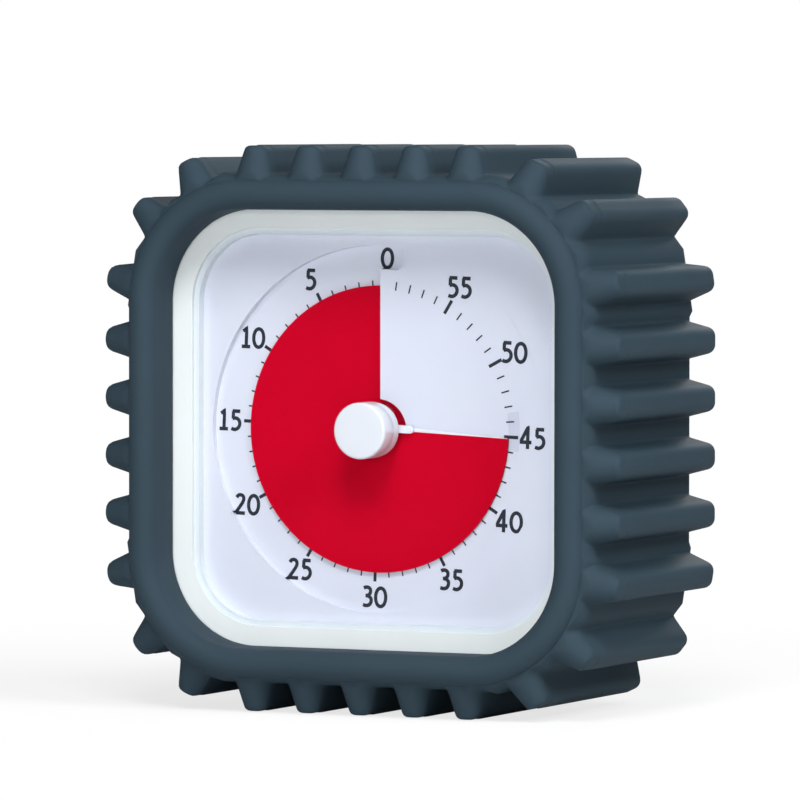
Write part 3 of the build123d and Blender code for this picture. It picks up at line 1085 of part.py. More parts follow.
def sounder_leads():
    """Three wires: board to ceramic, brass plate to switch, switch to board."""
    brass_front = CASE_FLOOR + SEAT_LEDGE + SOUNDER_THICKNESS
    ceramic_front = brass_front + CERAMIC_THICKNESS
    level = (ceramic_front + COVER_BACK) / 2
    high = (PIN_FRONT + COVER_BACK) / 2
    rim = (SOUNDER_RADIUS + CERAMIC_RADIUS) / 2
    first = SWITCH_X - PIN_STEP
    signal = [(BOARD_PAD_X, SOUNDER_HEIGHT, ceramic_front), (BOARD_PAD_X, SOUNDER_HEIGHT, level),
              (BOARD_PAD_X, BOARD_PAD_Y, level), (BOARD_PAD_X, BOARD_PAD_Y, BOARD_BACK)]
    ground = [(rim, SOUNDER_HEIGHT, brass_front), (rim, SOUNDER_HEIGHT, high),
              (first, SWITCH_Y, high), (first, SWITCH_Y, PIN_FRONT)]
    switched = [(SWITCH_X, SWITCH_Y, PIN_FRONT), (SWITCH_X, SWITCH_Y, high),
                (SWITCH_PAD_X, BOARD_PAD_Y, high), (SWITCH_PAD_X, BOARD_PAD_Y, BOARD_BACK)]
    return [wire(signal), wire(ground), wire(switched)]


NODES = {
    "silicone_sleeve": silicone_sleeve,
    "front_frame": front_frame,
    "rear_shell": rear_shell,
    "lens": lens,
    "dial_plate": dial_plate,
    "red_disc": red_disc,
    "disc_tab": disc_tab,
    "disc_hub": disc_hub,
    "knob": knob,
    "arbor": arbor,
    "arbor_clip": arbor_clip,
    "clutch_spring": clutch_spring,
    "centre_wheel": centre_wheel,
    "third_wheel": third_wheel,
    "second_wheel": second_wheel,
    "intermediate_wheel": intermediate_wheel,
    "rotor_pinion": rotor_pinion,
    "rotor_magnet": rotor_magnet,
    "stator": stator,
    "coil_bobbin": coil_bobbin,
    "coil_winding": coil_winding,
    "movement_circuit_board": movement_circuit_board,
    "quartz_crystal": quartz_crystal,
    "movement_front_plate": movement_front_plate,
    "movement_rear_cover": movement_rear_cover,
    "battery_cell": battery_cell,
    "battery_plus_contact": battery_plus_contact,
    "battery_minus_spring": battery_minus_spring,
    "battery_door": battery_door,
    "battery_leads": battery_leads,
    "sounder": sounder,
    "sounder_leads": sounder_leads,
    "switch_body": switch_body,
    "switch_slider": switch_slider,
    "case_screws": case_screws,
    "dial_screws": dial_screws,
    "movement_screws": movement_screws,
    "cover_screws": cover_screws,
}


def main():
    """Write one STEP file for each node."""
    os.makedirs("parts", exist_ok=True)
    for name, make in NODES.items():
        made = make()
        solids = made if isinstance(made, list) else [made]
        placed = [place(solid) for piece in solids for solid in piece.solids()]
        export_step(placed[0] if len(placed) == 1 else Compound(children=placed), f"parts/{name}.step")
        print(name, len(placed))


if __name__ == "__main__":
    main()
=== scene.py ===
"""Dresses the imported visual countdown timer: sleeve, dial print, knob, finishes, studio.

Pieces are drawn in millimetres in the dial frame: X to the right, Y up, Z towards the person
who reads the dial, with the origin on the knob's axis in the dial's flat face.
"""

import logging
import math
from collections.abc import Iterable
from dataclasses import dataclass
from enum import Enum
from functools import cached_property

import bmesh
import bpy
from bmesh.types import BMEdge, BMesh, BMVert
from bpy.types import Camera, Light, Material, Node, NodeSocket, Object, World
from mathutils import Matrix, Vector
from mathutils.bvhtree import BVHTree


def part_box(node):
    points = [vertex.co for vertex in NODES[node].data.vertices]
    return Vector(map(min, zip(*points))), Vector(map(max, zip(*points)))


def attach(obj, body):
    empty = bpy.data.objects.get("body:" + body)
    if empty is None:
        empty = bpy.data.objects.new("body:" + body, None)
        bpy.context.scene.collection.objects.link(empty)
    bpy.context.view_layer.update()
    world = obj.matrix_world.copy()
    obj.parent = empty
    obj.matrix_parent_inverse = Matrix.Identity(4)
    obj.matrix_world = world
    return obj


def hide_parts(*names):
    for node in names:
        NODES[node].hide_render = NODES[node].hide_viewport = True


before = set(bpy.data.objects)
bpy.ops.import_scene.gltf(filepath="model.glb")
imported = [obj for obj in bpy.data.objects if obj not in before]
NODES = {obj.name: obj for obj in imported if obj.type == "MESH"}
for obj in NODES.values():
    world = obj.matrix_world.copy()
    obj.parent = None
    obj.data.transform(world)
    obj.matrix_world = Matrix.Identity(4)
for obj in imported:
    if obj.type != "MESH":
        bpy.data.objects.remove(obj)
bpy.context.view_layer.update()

LOG = logging.getLogger("timer")
MM = 0.001
ONE_TURN = 2 * math.pi
WAVE_RATE = 20.0  # radians by which Blender's band wave advances per unit of length at scale 1


# ---------------------------------------------------------------- colours and shader nodes
def linear(hex_colour: str) -> tuple[float, float, float, float]:
    """Turn an sRGB hex colour into Blender's linear colour.

    Args:
        hex_colour: Six hex digits after a hash.

    Returns:
        Linear red, green, blue and an alpha of 1.
    """
    parts = [int(hex_colour[start:start + 2], 16) / 255 for start in (1, 3, 5)]
    red, green, blue = [p / 12.92 if p <= 0.04045 else ((p + 0.055) / 1.055) ** 2.4 for p in parts]
    return (red, green, blue, 1.0)


class ShaderTree:
    """The shader nodes of one material or world."""

    def __init__(self, owner: Material | World) -> None:
        """Start with no node.

        Args:
            owner: What the nodes are for.
        """
        owner.use_nodes = True
        self.tree = owner.node_tree
        self.tree.nodes.clear()

    @cached_property
    def place(self) -> NodeSocket:
        """Give the object coordinates."""
        return self.add("TexCoord").outputs["Object"]

    def add(self, kind: str, links: dict | None = None, **settings) -> Node:
        """Add a node with its settings and the links that feed it.

        Args:
            kind: The node's type, without the leading ShaderNode.
            links: Output sockets by the name or number of the input that each feeds.
            settings: Values by the name of the attribute or input, spaces written as underscores.

        Returns:
            The new node.
        """
        node = self.tree.nodes.new("ShaderNode" + kind)
        for name, value in settings.items():
            if name.islower() and hasattr(node, name):
                setattr(node, name, value)
            else:
                node.inputs[name.replace("_", " ")].default_value = value
        for name, source in (links or {}).items():
            self.tree.links.new(source, node.inputs[name])
        return node

    def principled(self, links: dict, **settings) -> NodeSocket:
        """Add a Principled shader and return what it gives."""
        return self.add("BsdfPrincipled", links, **settings).outputs["BSDF"]

    def noise(self, grain_mm: float, detail: float) -> NodeSocket:
        """Add noise of a grain size and return its value."""
        node = self.add("TexNoise", {"Vector": self.place}, Scale=1 / (grain_mm * MM), Detail=detail)
        return node.outputs["Fac"]

    def spread(self, value: NodeSocket, low: float, high: float) -> NodeSocket:
        """Spread a value from 0..1 over another range."""
        return self.add("MapRange", {"Value": value}, To_Min=low, To_Max=high).outputs["Result"]

    def relief(self, height: NodeSocket, depth_mm: float) -> NodeSocket:
        """Turn a height pattern into a bumped normal."""
        node = self.add("Bump", {"Height": height}, Distance=depth_mm * MM, Strength=1.0)
        return node.outputs["Normal"]

    def two_tone(self, value: NodeSocket, stops: tuple[float, float], tones: tuple[str, str]) -> NodeSocket:
        """Blend two colours along a value.

        Args:
            value: What decides between them.
            stops: The value at which each stands alone.
            tones: The sRGB hex colours.

        Returns:
            The blended colour.
        """
        ramp = self.add("ValToRGB", {"Fac": value})
        for element, stop, tone in zip(ramp.color_ramp.elements, stops, tones):
            element.position = stop
            element.color = linear(tone)
        return ramp.outputs["Color"]


# ---------------------------------------------------------------- finishes
@dataclass(frozen=True)
class Finish:
    """A surface's finish, named for its material and how it was made."""

    name: str

    def shader(self, tree: ShaderTree) -> NodeSocket:
        """Add the finish's shader nodes.

        Args:
            tree: The material's nodes.

        Returns:
            The shader that the surface shows.
        """
        raise NotImplementedError

    def build(self) -> Material:
        """Make the material.

        Returns:
            A node material that shows this finish.
        """
        material = bpy.data.materials.new(self.name)
        tree = ShaderTree(material)
        tree.add("OutputMaterial", {"Surface": self.shader(tree)})
        return material


@dataclass(frozen=True)
class Moulded(Finish):
    """Moulded plastic or rubber: an even colour with a spark-eroded skin and faint flow clouds."""

    colour: str
    shade: str
    roughness: float = 0.4
    roughness_spread: float = 0.06
    grain_mm: float = 0.25
    grain_depth_mm: float = 0.004
    cloud_mm: float = 18.0
    cloud_stops: tuple[float, float] = (0.3, 0.7)
    specular: float = 0.5
    sheen: float = 0.0
    sheen_roughness: float = 0.5
    sheen_tint: str = "#ffffff"
    coat: float = 0.0

    def shader(self, tree: ShaderTree) -> NodeSocket:
        """Let noise vary a Principled shader's colour, roughness and bump.

        Args:
            tree: The material's nodes.

        Returns:
            The shader that the surface shows.
        """
        clouds = tree.noise(self.cloud_mm, 3.0)
        grain = tree.noise(self.grain_mm, 2.0)
        inputs = {
            "Base Color": tree.two_tone(clouds, self.cloud_stops, (self.shade, self.colour)),
            "Roughness": tree.spread(
                grain, self.roughness - self.roughness_spread, self.roughness + self.roughness_spread,
            ),
            "Normal": tree.relief(grain, self.grain_depth_mm),
        }
        return tree.principled(
            inputs, Specular_IOR_Level=self.specular, Sheen_Weight=self.sheen,
            Sheen_Roughness=self.sheen_roughness, Sheen_Tint=linear(self.sheen_tint), Coat_Weight=self.coat,
        )


@dataclass(frozen=True)
class Metal(Finish):
    """Turned, stamped or drawn metal: fine marks stretched along one direction of the part."""

    colour: str
    roughness: float = 0.3
    roughness_spread: float = 0.1
    marks_mm: tuple[float, float, float] = (4.0, 0.15, 4.0)
    marks_depth_mm: float = 0.002

    def shader(self, tree: ShaderTree) -> NodeSocket:
        """Let stretched noise vary a metal's roughness and bump.

        Args:
            tree: The material's nodes.

        Returns:
            The shader that the surface shows.
        """
        scale = [1 / (size * MM) for size in self.marks_mm]
        stretch = tree.add("Mapping", {"Vector": tree.place}, Scale=scale)
        lines = tree.add("TexNoise", {"Vector": stretch.outputs["Vector"]}, Scale=1.0, Detail=4.0)
        marks = lines.outputs["Fac"]
        inputs = {
            "Roughness": tree.spread(
                marks, self.roughness - self.roughness_spread, self.roughness + self.roughness_spread,
            ),
            "Normal": tree.relief(marks, self.marks_depth_mm),
        }
        return tree.principled(inputs, Base_Color=linear(self.colour), Metallic=1.0)


@dataclass(frozen=True)
class ClearSheet(Finish):
    """Clear moulded or cut plastic sheet: see-through, with a little haze and a faint mirror."""

    tint: str
    mirror_ior: float
    haze: float
    haze_colour: str = "#f2f6fb"
    most_mirror: float = 0.08
    wipe_mm: float = 9.0
    gloss: tuple[float, float] = (0.02, 0.07)

    def shader(self, tree: ShaderTree) -> NodeSocket:
        """Mix a clear shader with haze and a Fresnel gloss that stays faint at a slant.

        Args:
            tree: The material's nodes.

        Returns:
            The shader that the surface shows.
        """
        rough = tree.spread(tree.noise(self.wipe_mm, 5.0), *self.gloss)
        clear = tree.add("BsdfTransparent", Color=linear(self.tint))
        haze = tree.add("BsdfDiffuse", Color=linear(self.haze_colour))
        veiled = tree.add("MixShader", {1: clear.outputs["BSDF"], 2: haze.outputs["BSDF"]}, Fac=self.haze)
        mirror = tree.add("BsdfAnisotropic", {"Roughness": rough})
        facing = tree.add("Fresnel", IOR=self.mirror_ior)
        share = tree.add("Math", {0: facing.outputs["Fac"]}, operation="MINIMUM")
        share.inputs[1].default_value = self.most_mirror
        links = {0: share.outputs["Value"], 1: veiled.outputs["Shader"], 2: mirror.outputs["BSDF"]}
        return tree.add("MixShader", links).outputs["Shader"]


@dataclass(frozen=True)
class Ink(Finish):
    """Pad-printed ink: dark, matte, a little uneven where the pad lifted."""

    colour: str
    worn: str
    roughness: float = 0.55
    specular: float = 0.3
    speck_mm: float = 0.5
    speck_stops: tuple[float, float] = (0.35, 0.75)

    def shader(self, tree: ShaderTree) -> NodeSocket:
        """Let noise vary a matte shader's colour.

        Args:
            tree: The material's nodes.

        Returns:
            The shader that the surface shows.
        """
        specks = tree.noise(self.speck_mm, 3.0)
        colour = tree.two_tone(specks, self.speck_stops, (self.colour, self.worn))
        links = {"Base Color": colour}
        return tree.principled(links, Roughness=self.roughness, Specular_IOR_Level=self.specular)


@dataclass(frozen=True)
class WoundWire(Finish):
    """Enamelled copper wire wound in close turns along X."""

    colour: str
    pitch_mm: float = 0.3  # real wire is a tenth of this, too fine to show

    def shader(self, tree: ShaderTree) -> NodeSocket:
        """Bump a metallic shader with one wave for each turn.

        Args:
            tree: The material's nodes.

        Returns:
            The shader that the surface shows.
        """
        turns = tree.add(
            "TexWave", {"Vector": tree.place}, wave_type="BANDS", bands_direction="X",
            Scale=ONE_TURN / (WAVE_RATE * self.pitch_mm * MM), Distortion=0.4,
        )
        normal = tree.relief(turns.outputs["Fac"], self.pitch_mm / 4)
        return tree.principled(
            {"Normal": normal}, Base_Color=linear(self.colour), Metallic=0.9, Roughness=0.35, Coat_Weight=0.5,
        )


@dataclass(frozen=True)
class FloorPaint(Finish):
    """A pale matte floor that shows its shadows near the timer and plain white farther away."""

    near: float = 0.09
    far: float = 0.26
    white_share: float = 0.75
    bounce: float = 0.75

    def shader(self, tree: ShaderTree) -> NodeSocket:
        """Mix a matte shader with plain white for the camera, and reflect less light than shows.

        Args:
            tree: The material's nodes.

        Returns:
            The shader that the surface shows.
        """
        reach = tree.add("VectorMath", {0: tree.place}, operation="LENGTH").outputs["Value"]
        fade = tree.add(
            "MapRange", {"Value": reach}, interpolation_type="SMOOTHSTEP", From_Min=self.near,
            From_Max=self.far,
        )
        seen = tree.add("LightPath").outputs["Is Camera Ray"]
        lift = tree.spread(fade.outputs["Result"], self.white_share, 1.0)
        share = tree.add("Math", {0: lift, 1: seen}, operation="MULTIPLY").outputs["Value"]
        matte = tree.add("BsdfDiffuse", {"Color": tree.spread(seen, self.bounce, 1.0)})
        white = tree.add("Emission", Color=linear("#ffffff"), Strength=1.0)
        links = {0: share, 1: matte.outputs["BSDF"], 2: white.outputs["Emission"]}
        return tree.add("MixShader", links).outputs["Shader"]


class Look(Enum):
    """The finishes that a piece can have."""

    SILICONE = Moulded(
        "matte moulded silicone, slate", "#33434d", "#303f49", roughness=0.66, roughness_spread=0.05,
        grain_mm=0.35, grain_depth_mm=0.006, cloud_mm=30.0, specular=0.07, sheen=0.01, sheen_roughness=0.45,
        sheen_tint="#a9c0cf",
    )
    CASE_PLASTIC = Moulded(
        "satin moulded ABS, greenish white", "#e2e9ea", "#dee5e6", roughness=0.38, grain_mm=0.3,
        grain_depth_mm=0.003,
    )
    DIAL_PLASTIC = Moulded(
        "matte moulded ABS, bluish white", "#dee1e9", "#dbdee7", roughness=0.5, grain_mm=0.22,
        grain_depth_mm=0.003, specular=0.3,
    )
    KNOB_PLASTIC = Moulded(
        "gloss moulded ABS, white", "#d8dde5", "#d4dae3", roughness=0.24, roughness_spread=0.03, grain_mm=0.8,
        grain_depth_mm=0.001,
    )
    HUB_PLASTIC = Moulded(
        "gloss moulded acetal, white", "#eef1f6", "#e8ecf3", roughness=0.28, roughness_spread=0.03,
        grain_mm=0.6, grain_depth_mm=0.001,
    )
    RED_FILM = Moulded(
        "satin dyed polyester film, red", "#cb0123", "#c70121", roughness=0.4, roughness_spread=0.03,
        grain_mm=0.5, grain_depth_mm=0.0003, specular=0.015,
    )
    GEAR_PLASTIC = Moulded("moulded acetal, ivory", "#e0dbc8", "#d8d2bd", roughness=0.35, specular=0.5)
    BLACK_PLASTIC = Moulded("spark-textured ABS, black", "#16171a", "#121316", roughness=0.5)
    SOLDER_MASK = Moulded(
        "solder mask on glass-epoxy board, green", "#1f5a34", "#17492a", roughness=0.3, grain_mm=0.6,
        cloud_mm=2.5, coat=0.4,
    )
    WIRE_SKIN = Moulded("extruded PVC insulation, dark red", "#5a1512", "#4b110f", roughness=0.42)
    CELL_JACKET = Moulded(
        "shrunk plastic jacket, plain grey", "#8d9299", "#858a92", roughness=0.25, grain_mm=1.5, coat=0.6,
    )
    STEEL = Metal("turned and stamped steel", "#b9babd", roughness=0.3)
    SPRING_STEEL = Metal("nickel-plated spring steel", "#cfcdc8", roughness=0.18)
    SOFT_IRON = Metal("stamped soft iron lamination", "#9a9a9c", roughness=0.4)
    MAGNET = Metal("sintered ferrite magnet", "#4a4a4d", roughness=0.55, marks_mm=(0.3, 0.3, 0.3))
    BRASS = Metal("stamped brass with a ceramic disc", "#cda65c", roughness=0.3, marks_mm=(6.0, 6.0, 0.1))
    CRYSTAL_CAN = Metal("drawn nickel silver can", "#c4c5c8", roughness=0.2)
    COPPER = WoundWire("enamelled copper wire, wound", "#b8683a")
    LENS_SHEET = ClearSheet("clear moulded acrylic", "#fcfdff", mirror_ior=1.05, haze=0.0005)
    TAB_SHEET = ClearSheet("clear polyester film", "#fcfcfd", mirror_ior=1.12, haze=0.006)
    DIAL_INK = Ink("pad-printed ink, slate black", "#20232d", "#2d313c")


FINISHED_NODES = {
    Look.CASE_PLASTIC: ("front_frame", "rear_shell", "battery_door"),
    Look.LENS_SHEET: ("lens",),
    Look.DIAL_PLASTIC: ("dial_plate",),
    Look.RED_FILM: ("red_disc",),
    Look.TAB_SHEET: ("disc_tab",),
    Look.HUB_PLASTIC: ("disc_hub",),
    Look.KNOB_PLASTIC: ("knob",),
    Look.SILICONE: ("silicone_sleeve",),
    Look.STEEL: ("arbor", "case_screws", "dial_screws", "movement_screws", "cover_screws"),
    Look.SPRING_STEEL: ("arbor_clip", "clutch_spring", "battery_plus_contact", "battery_minus_spring"),
    Look.GEAR_PLASTIC: (
        "centre_wheel", "third_wheel", "second_wheel", "intermediate_wheel", "rotor_pinion", "coil_bobbin",
        "movement_front_plate",
    ),
    Look.MAGNET: ("rotor_magnet",),
    Look.SOFT_IRON: ("stator",),
    Look.COPPER: ("coil_winding",),
    Look.SOLDER_MASK: ("movement_circuit_board",),
    Look.CRYSTAL_CAN: ("quartz_crystal",),
    Look.BLACK_PLASTIC: ("movement_rear_cover", "switch_body", "switch_slider"),
    Look.CELL_JACKET: ("battery_cell",),
    Look.BRASS: ("sounder",),
    Look.WIRE_SKIN: ("battery_leads", "sounder_leads"),
}


class FinishBook:
    """Builds each finish once and hands it to the pieces that use it."""

    def __init__(self) -> None:
        """Start with no finish built."""
        self.made: dict[Look, Material] = {}

    def dress(self, piece: Object, look: Look) -> None:
        """Give a piece one finish all over, made on first use.

        Args:
            piece: The mesh object.
            look: Its finish.
        """
        if look not in self.made:
            self.made[look] = look.value.build()
        piece.data.materials.clear()
        piece.data.materials.append(self.made[look])


# ---------------------------------------------------------------- shared modelling tools
def link_mesh(name: str, mesh: BMesh) -> Object:
    """Turn a bmesh into an object in the scene and free it.

    Args:
        name: The object's name.
        mesh: What was drawn.

    Returns:
        The object.
    """
    data = bpy.data.meshes.new(name)
    mesh.to_mesh(data)
    mesh.free()
    piece = bpy.data.objects.new(name, data)
    bpy.context.scene.collection.objects.link(piece)
    return piece


def link_object(name: str, data: Camera | Light, place: Matrix) -> Object:
    """Put a camera or a lamp in the scene.

    Args:
        name: The object's name.
        data: The camera or lamp.
        place: Where it stands and how it is turned.

    Returns:
        The object.
    """
    holder = bpy.data.objects.new(name, data)
    holder.matrix_world = place
    bpy.context.scene.collection.objects.link(holder)
    return holder


def draw_out(mesh: BMesh, edges: list[BMEdge],
             verts: list[BMVert]) -> tuple[list[BMEdge], list[BMVert]]:
    """Extrude a row of edges in place.

    Args:
        mesh: What is drawn.
        edges: The row's edges.
        verts: The row's verts.

    Returns:
        The new row's edges, and its verts in the order of the old ones.
    """
    grown = bmesh.ops.extrude_edge_only(mesh, edges=edges)["geom"]
    new_verts = {item for item in grown if isinstance(item, BMVert)}
    new_edges = [item for item in grown if isinstance(item, BMEdge) and set(item.verts) <= new_verts]
    partners = [
        next(edge.other_vert(vert) for edge in vert.link_edges if edge.other_vert(vert) in new_verts)
        for vert in verts
    ]
    return new_edges, partners


def thicken(mesh: BMesh, depth: float) -> set[BMVert]:
    """Give all drawn faces a thickness.

    Args:
        mesh: What is drawn.
        depth: How far a copy of the faces is raised.

    Returns:
        The raised verts.
    """
    grown = bmesh.ops.extrude_face_region(mesh, geom=mesh.faces[:])["geom"]
    risen = [item for item in grown if isinstance(item, BMVert)]
    bmesh.ops.translate(mesh, vec=(0, 0, depth), verts=risen)
    return set(risen)


def round_edges(mesh: BMesh, edges: list[BMEdge], radius: float) -> None:
    """Round the given edges off in two steps."""
    bmesh.ops.bevel(mesh, geom=edges, offset=radius, affect="EDGES", segments=2, profile=0.5, material=-1)


class DialFrame:
    """Places what is drawn in the dial frame in the part's own frame."""

    def __init__(self) -> None:
        """Read the place of the dial's face from the CAD."""
        low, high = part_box("silicone_sleeve")
        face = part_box("dial_plate")[0].y
        self.to_part = Matrix((
            (MM, 0, 0, 0),
            (0, 0, -MM, face),
            (0, MM, 0, (low.z + high.z) / 2),
            (0, 0, 0, 1),
        ))

    def finish_mesh(self, name: str, mesh: BMesh, sharp_degrees: float = 0.0) -> Object:
        """Turn a drawn bmesh into a placed object and free it.

        Args:
            name: The piece's name.
            mesh: What was drawn, in millimetres in the dial frame.
            sharp_degrees: Faces that meet at less than this are shaded smooth; 0 shades all flat.

        Returns:
            The object, at the origin with its place in its mesh.
        """
        bmesh.ops.recalc_face_normals(mesh, faces=mesh.faces)
        bmesh.ops.transform(mesh, matrix=self.to_part, verts=mesh.verts)
        piece = link_mesh(name, mesh)
        for polygon in piece.data.polygons:
            polygon.use_smooth = sharp_degrees > 0.0
        if sharp_degrees:
            piece.data.set_sharp_from_angle(angle=math.radians(sharp_degrees))
        LOG.info("%s: %d faces", name, len(piece.data.polygons))
        return piece


@dataclass
class Drawn:
    """A piece that is drawn here: what places it and what finishes it."""

    dial: DialFrame
    book: FinishBook


def polar(radius: float, degrees: float) -> Vector:
    """Give the dial-plane point at a radius and an angle anticlockwise from +X."""
    turn = math.radians(degrees)
    return Vector((radius * math.cos(turn), radius * math.sin(turn), 0.0))


def between(start: float, end: float, steps: int) -> list[float]:
    """Give the values that lead from start to end in equal steps, both included."""
    return [start + (end - start) * part / steps for part in range(steps + 1)]


def soft_max(first: float, second: float, blend: float) -> float:
    """Give the higher of two heights, filleted where they cross."""
    share = max(blend - abs(first - second), 0.0) / blend
    return max(first, second) + share * share * blend / 4


def soft_min(first: float, second: float, blend: float) -> float:
    """Give the lower of two heights, rounded where they cross."""
    return -soft_max(-first, -second, blend)


# ---------------------------------------------------------------- sleeve
@dataclass(frozen=True)
class OutlineSpot:
    """One line of the sleeve's wall, square to the shared outline."""

    anchor: Vector
    normal: Vector

    def at(self, half: float, flat_half: float) -> Vector:
        """Give the point of this line on the rounded square of a half width."""
        return self.anchor + self.normal * (half - flat_half)


@dataclass(frozen=True)
class Ring:
    """One turn of the sleeve's skin: its place in the section and how far a rib stands out there."""

    half: float
    height: float
    cap: float | None = None
    inset: float = 0.0
    nose: bool = False


@dataclass
class Sleeve(Drawn):
    """The ribbed silicone sleeve, one closed skin drawn ring by ring round its section."""

    flat_half: float = 23.1
    window_half: float = 40.4
    skirt_half: float = 42.0
    cavity_half: float = 44.9
    body_half: float = 46.9
    bead_radius: float = 2.7
    bead_end: float = 8.0
    lip_front: float = 13.1
    lip_foot: float = 7.0
    groove_front: float = 10.2
    skirt_back: float = 3.5
    back: float = -37.2
    back_round: float = 1.2
    rib_height: float = 5.4
    rib_tip_half: float = 2.15
    rib_draft: float = 14.3
    rib_step: float = 10.74
    rib_front: float = 8.6
    rib_slope: float = 22.0
    rib_back: float = -36.8
    rib_round: float = 1.75
    end_round: float = 1.4
    nose_round: float = 3.6
    nose_blend: float = 0.5
    root_blend: float = 0.7
    top_corner_rib: float = 33.7
    side_corner_rib: float = 39.1
    bead_steps: int = 14
    slope_steps: int = 7
    round_steps: int = 6
    nose_steps: int = 8
    settle_steps: int = 8
    search_steps: int = 20
    end_steps: int = 5
    edge_steps: int = 3
    tip_share: float = 0.55
    nose_gap: float = 0.4
    bead_inset: float = 0.06
    bead_heel: float = 0.07
    slope_gap: float = 0.16
    wall_levels: tuple[float, ...] = (0.0, -12.0, -26.0)
    flank_shares: tuple[float, ...] = (0.3, 0.62, 0.85)
    root_shifts: tuple[float, ...] = (-0.02, 0.16, 0.38, 0.75)
    lowest: float = -3.0
    least_rise: float = 0.2
    round_to_tip: float = 0.9
    round_to_rise: float = 0.8
    steepest: float = 0.995
    mouth_cut: float = 0.3
    skirt_cut: float = 0.2
    window_cut: float = 0.4

    def quarter(self) -> float:
        """Give the outline's length from the middle of the top to the middle of a side."""
        return 2 * self.flat_half + (self.body_half - self.flat_half) * math.pi / 2

    def spot(self, along: float) -> OutlineSpot:
        """Give the wall line at a distance along the outline.

        Args:
            along: Distance from the middle of the top, clockwise as seen from the front.

        Returns:
            The line's anchor and outward direction in the dial plane.
        """
        quarter = self.quarter()
        side = int(along // quarter)
        rest = along - side * quarter
        arc = (self.body_half - self.flat_half) * math.pi / 2
        turn = min(max((rest - self.flat_half) / arc, 0.0), 1.0) * 90.0
        if rest < self.flat_half:
            anchor = Vector((rest, self.flat_half, 0.0))
        elif rest <= self.flat_half + arc:
            anchor = Vector((self.flat_half, self.flat_half, 0.0))
        else:
            anchor = Vector((self.flat_half, quarter - rest, 0.0))
        round_about = Matrix.Rotation(math.radians(-90.0 * side), 3, "Z")
        return OutlineSpot(round_about @ anchor, round_about @ polar(1.0, 90.0 - turn))

    def rib_places(self) -> list[float]:
        """Spread the ribs over the outline.

        Returns:
            The distance of each rib's middle along the outline.
        """
        quarter = self.quarter()
        step = self.rib_step
        top_run = [0.0, step, 2 * step, self.top_corner_rib]
        side_run = [step / 2, 3 * step / 2, 5 * step / 2, self.side_corner_rib]
        places = set()
        for middle in (0.0, 2 * quarter):
            places.update((middle + sign * run) % (4 * quarter) for run in top_run for sign in (-1, 1))
        for middle in (quarter, 3 * quarter):
            places.update(middle + sign * run for run in side_run for sign in (-1, 1))
        return sorted({round(place, 6) for place in places})

    def rib_offsets(self) -> list[float]:
        """Spread wall lines over half a rib, close on its rounded edge and at its root.

        Returns:
            Distances from the rib's middle.
        """
        flank = math.radians(self.rib_draft)
        edge = self.rib_tip_half - self.rib_round * math.tan((math.pi / 2 - flank) / 2)
        root = self.rib_tip_half + self.rib_height * math.tan(flank)
        turns = between(0.0, math.pi / 2 - flank, self.round_steps)
        offsets = [0.0, edge * self.tip_share, *(edge + self.rib_round * math.sin(turn) for turn in turns)]
        last = offsets[-1]
        offsets += [last + (root - last) * share for share in self.flank_shares]
        return offsets + [root + shift for shift in self.root_shifts]

    def wall_lines(self) -> list[tuple[OutlineSpot, OutlineSpot]]:
        """Spread wall lines over every rib and valley.

        Returns:
            Each line with the line through the middle of its nearest rib.
        """
        whole = 4 * self.quarter()
        steps = self.rib_offsets()
        offsets = sorted({sign * step for step in steps for sign in (-1, 1)})
        ribs = self.rib_places()
        lines = []
        for number, rib in enumerate(ribs):
            following = ribs[(number + 1) % len(ribs)] + (whole if number + 1 == len(ribs) else 0.0)
            middle = self.spot(rib % whole)
            lines += [(self.spot((rib + offset) % whole), middle) for offset in offsets]
            valley = following - rib - 2 * steps[-1]
            lines.append((self.spot((rib + steps[-1] + valley / 2) % whole), middle))
        return lines

    def nose_back(self) -> float:
        """Give the height at which a rib's rounded front edge ends."""
        slope = math.radians(self.rib_slope)
        return self.rib_front - self.end_round * math.tan((math.pi / 2 - slope) / 2)

    def front_rings(self) -> list[Ring]:
        """Lay out the lip's bead, the ribs' sloped front ends and the wall.

        Returns:
            The rings from the window's edge to near the back.
        """
        middle = self.window_half + self.bead_radius
        height = self.lip_front - self.bead_radius
        rings = [Ring(middle + self.bead_radius * math.cos(turn), height + self.bead_radius * math.sin(turn))
                 for turn in between(math.pi, math.radians(self.bead_end), self.bead_steps)]
        corner = rings[-1]
        rings.append(Ring(corner.half - self.bead_inset, corner.height - self.bead_heel))
        slope = math.radians(self.rib_slope)
        round_middle = self.nose_back()
        slope_end = self.rib_front + (self.rib_front - round_middle) * math.sin(slope)
        caps = [(level, (self.rib_front - level) / math.tan(slope) + self.rib_height)
                for level in between(corner.height - self.slope_gap, slope_end, self.slope_steps)]
        caps += [(round_middle + self.end_round * math.sin(turn),
                  self.rib_height - self.end_round * (1 - math.cos(turn)))
                 for turn in between(math.pi / 2 - slope, 0.0, self.round_steps)[1:]]
        nose_end = round_middle - self.nose_round
        levels = between(round_middle, nose_end, self.nose_steps)[1:]
        levels += [nose_end - self.nose_gap, *self.wall_levels]
        for level, cap in caps + [(level, self.rib_height) for level in levels]:
            share = min(max((corner.height - level) / (corner.height - self.lip_foot), 0.0), 1.0)
            half = corner.half + (self.body_half - corner.half) * math.sin(share * math.pi / 2)
            rings.append(Ring(half, level, cap, nose=level > nose_end))
        return rings

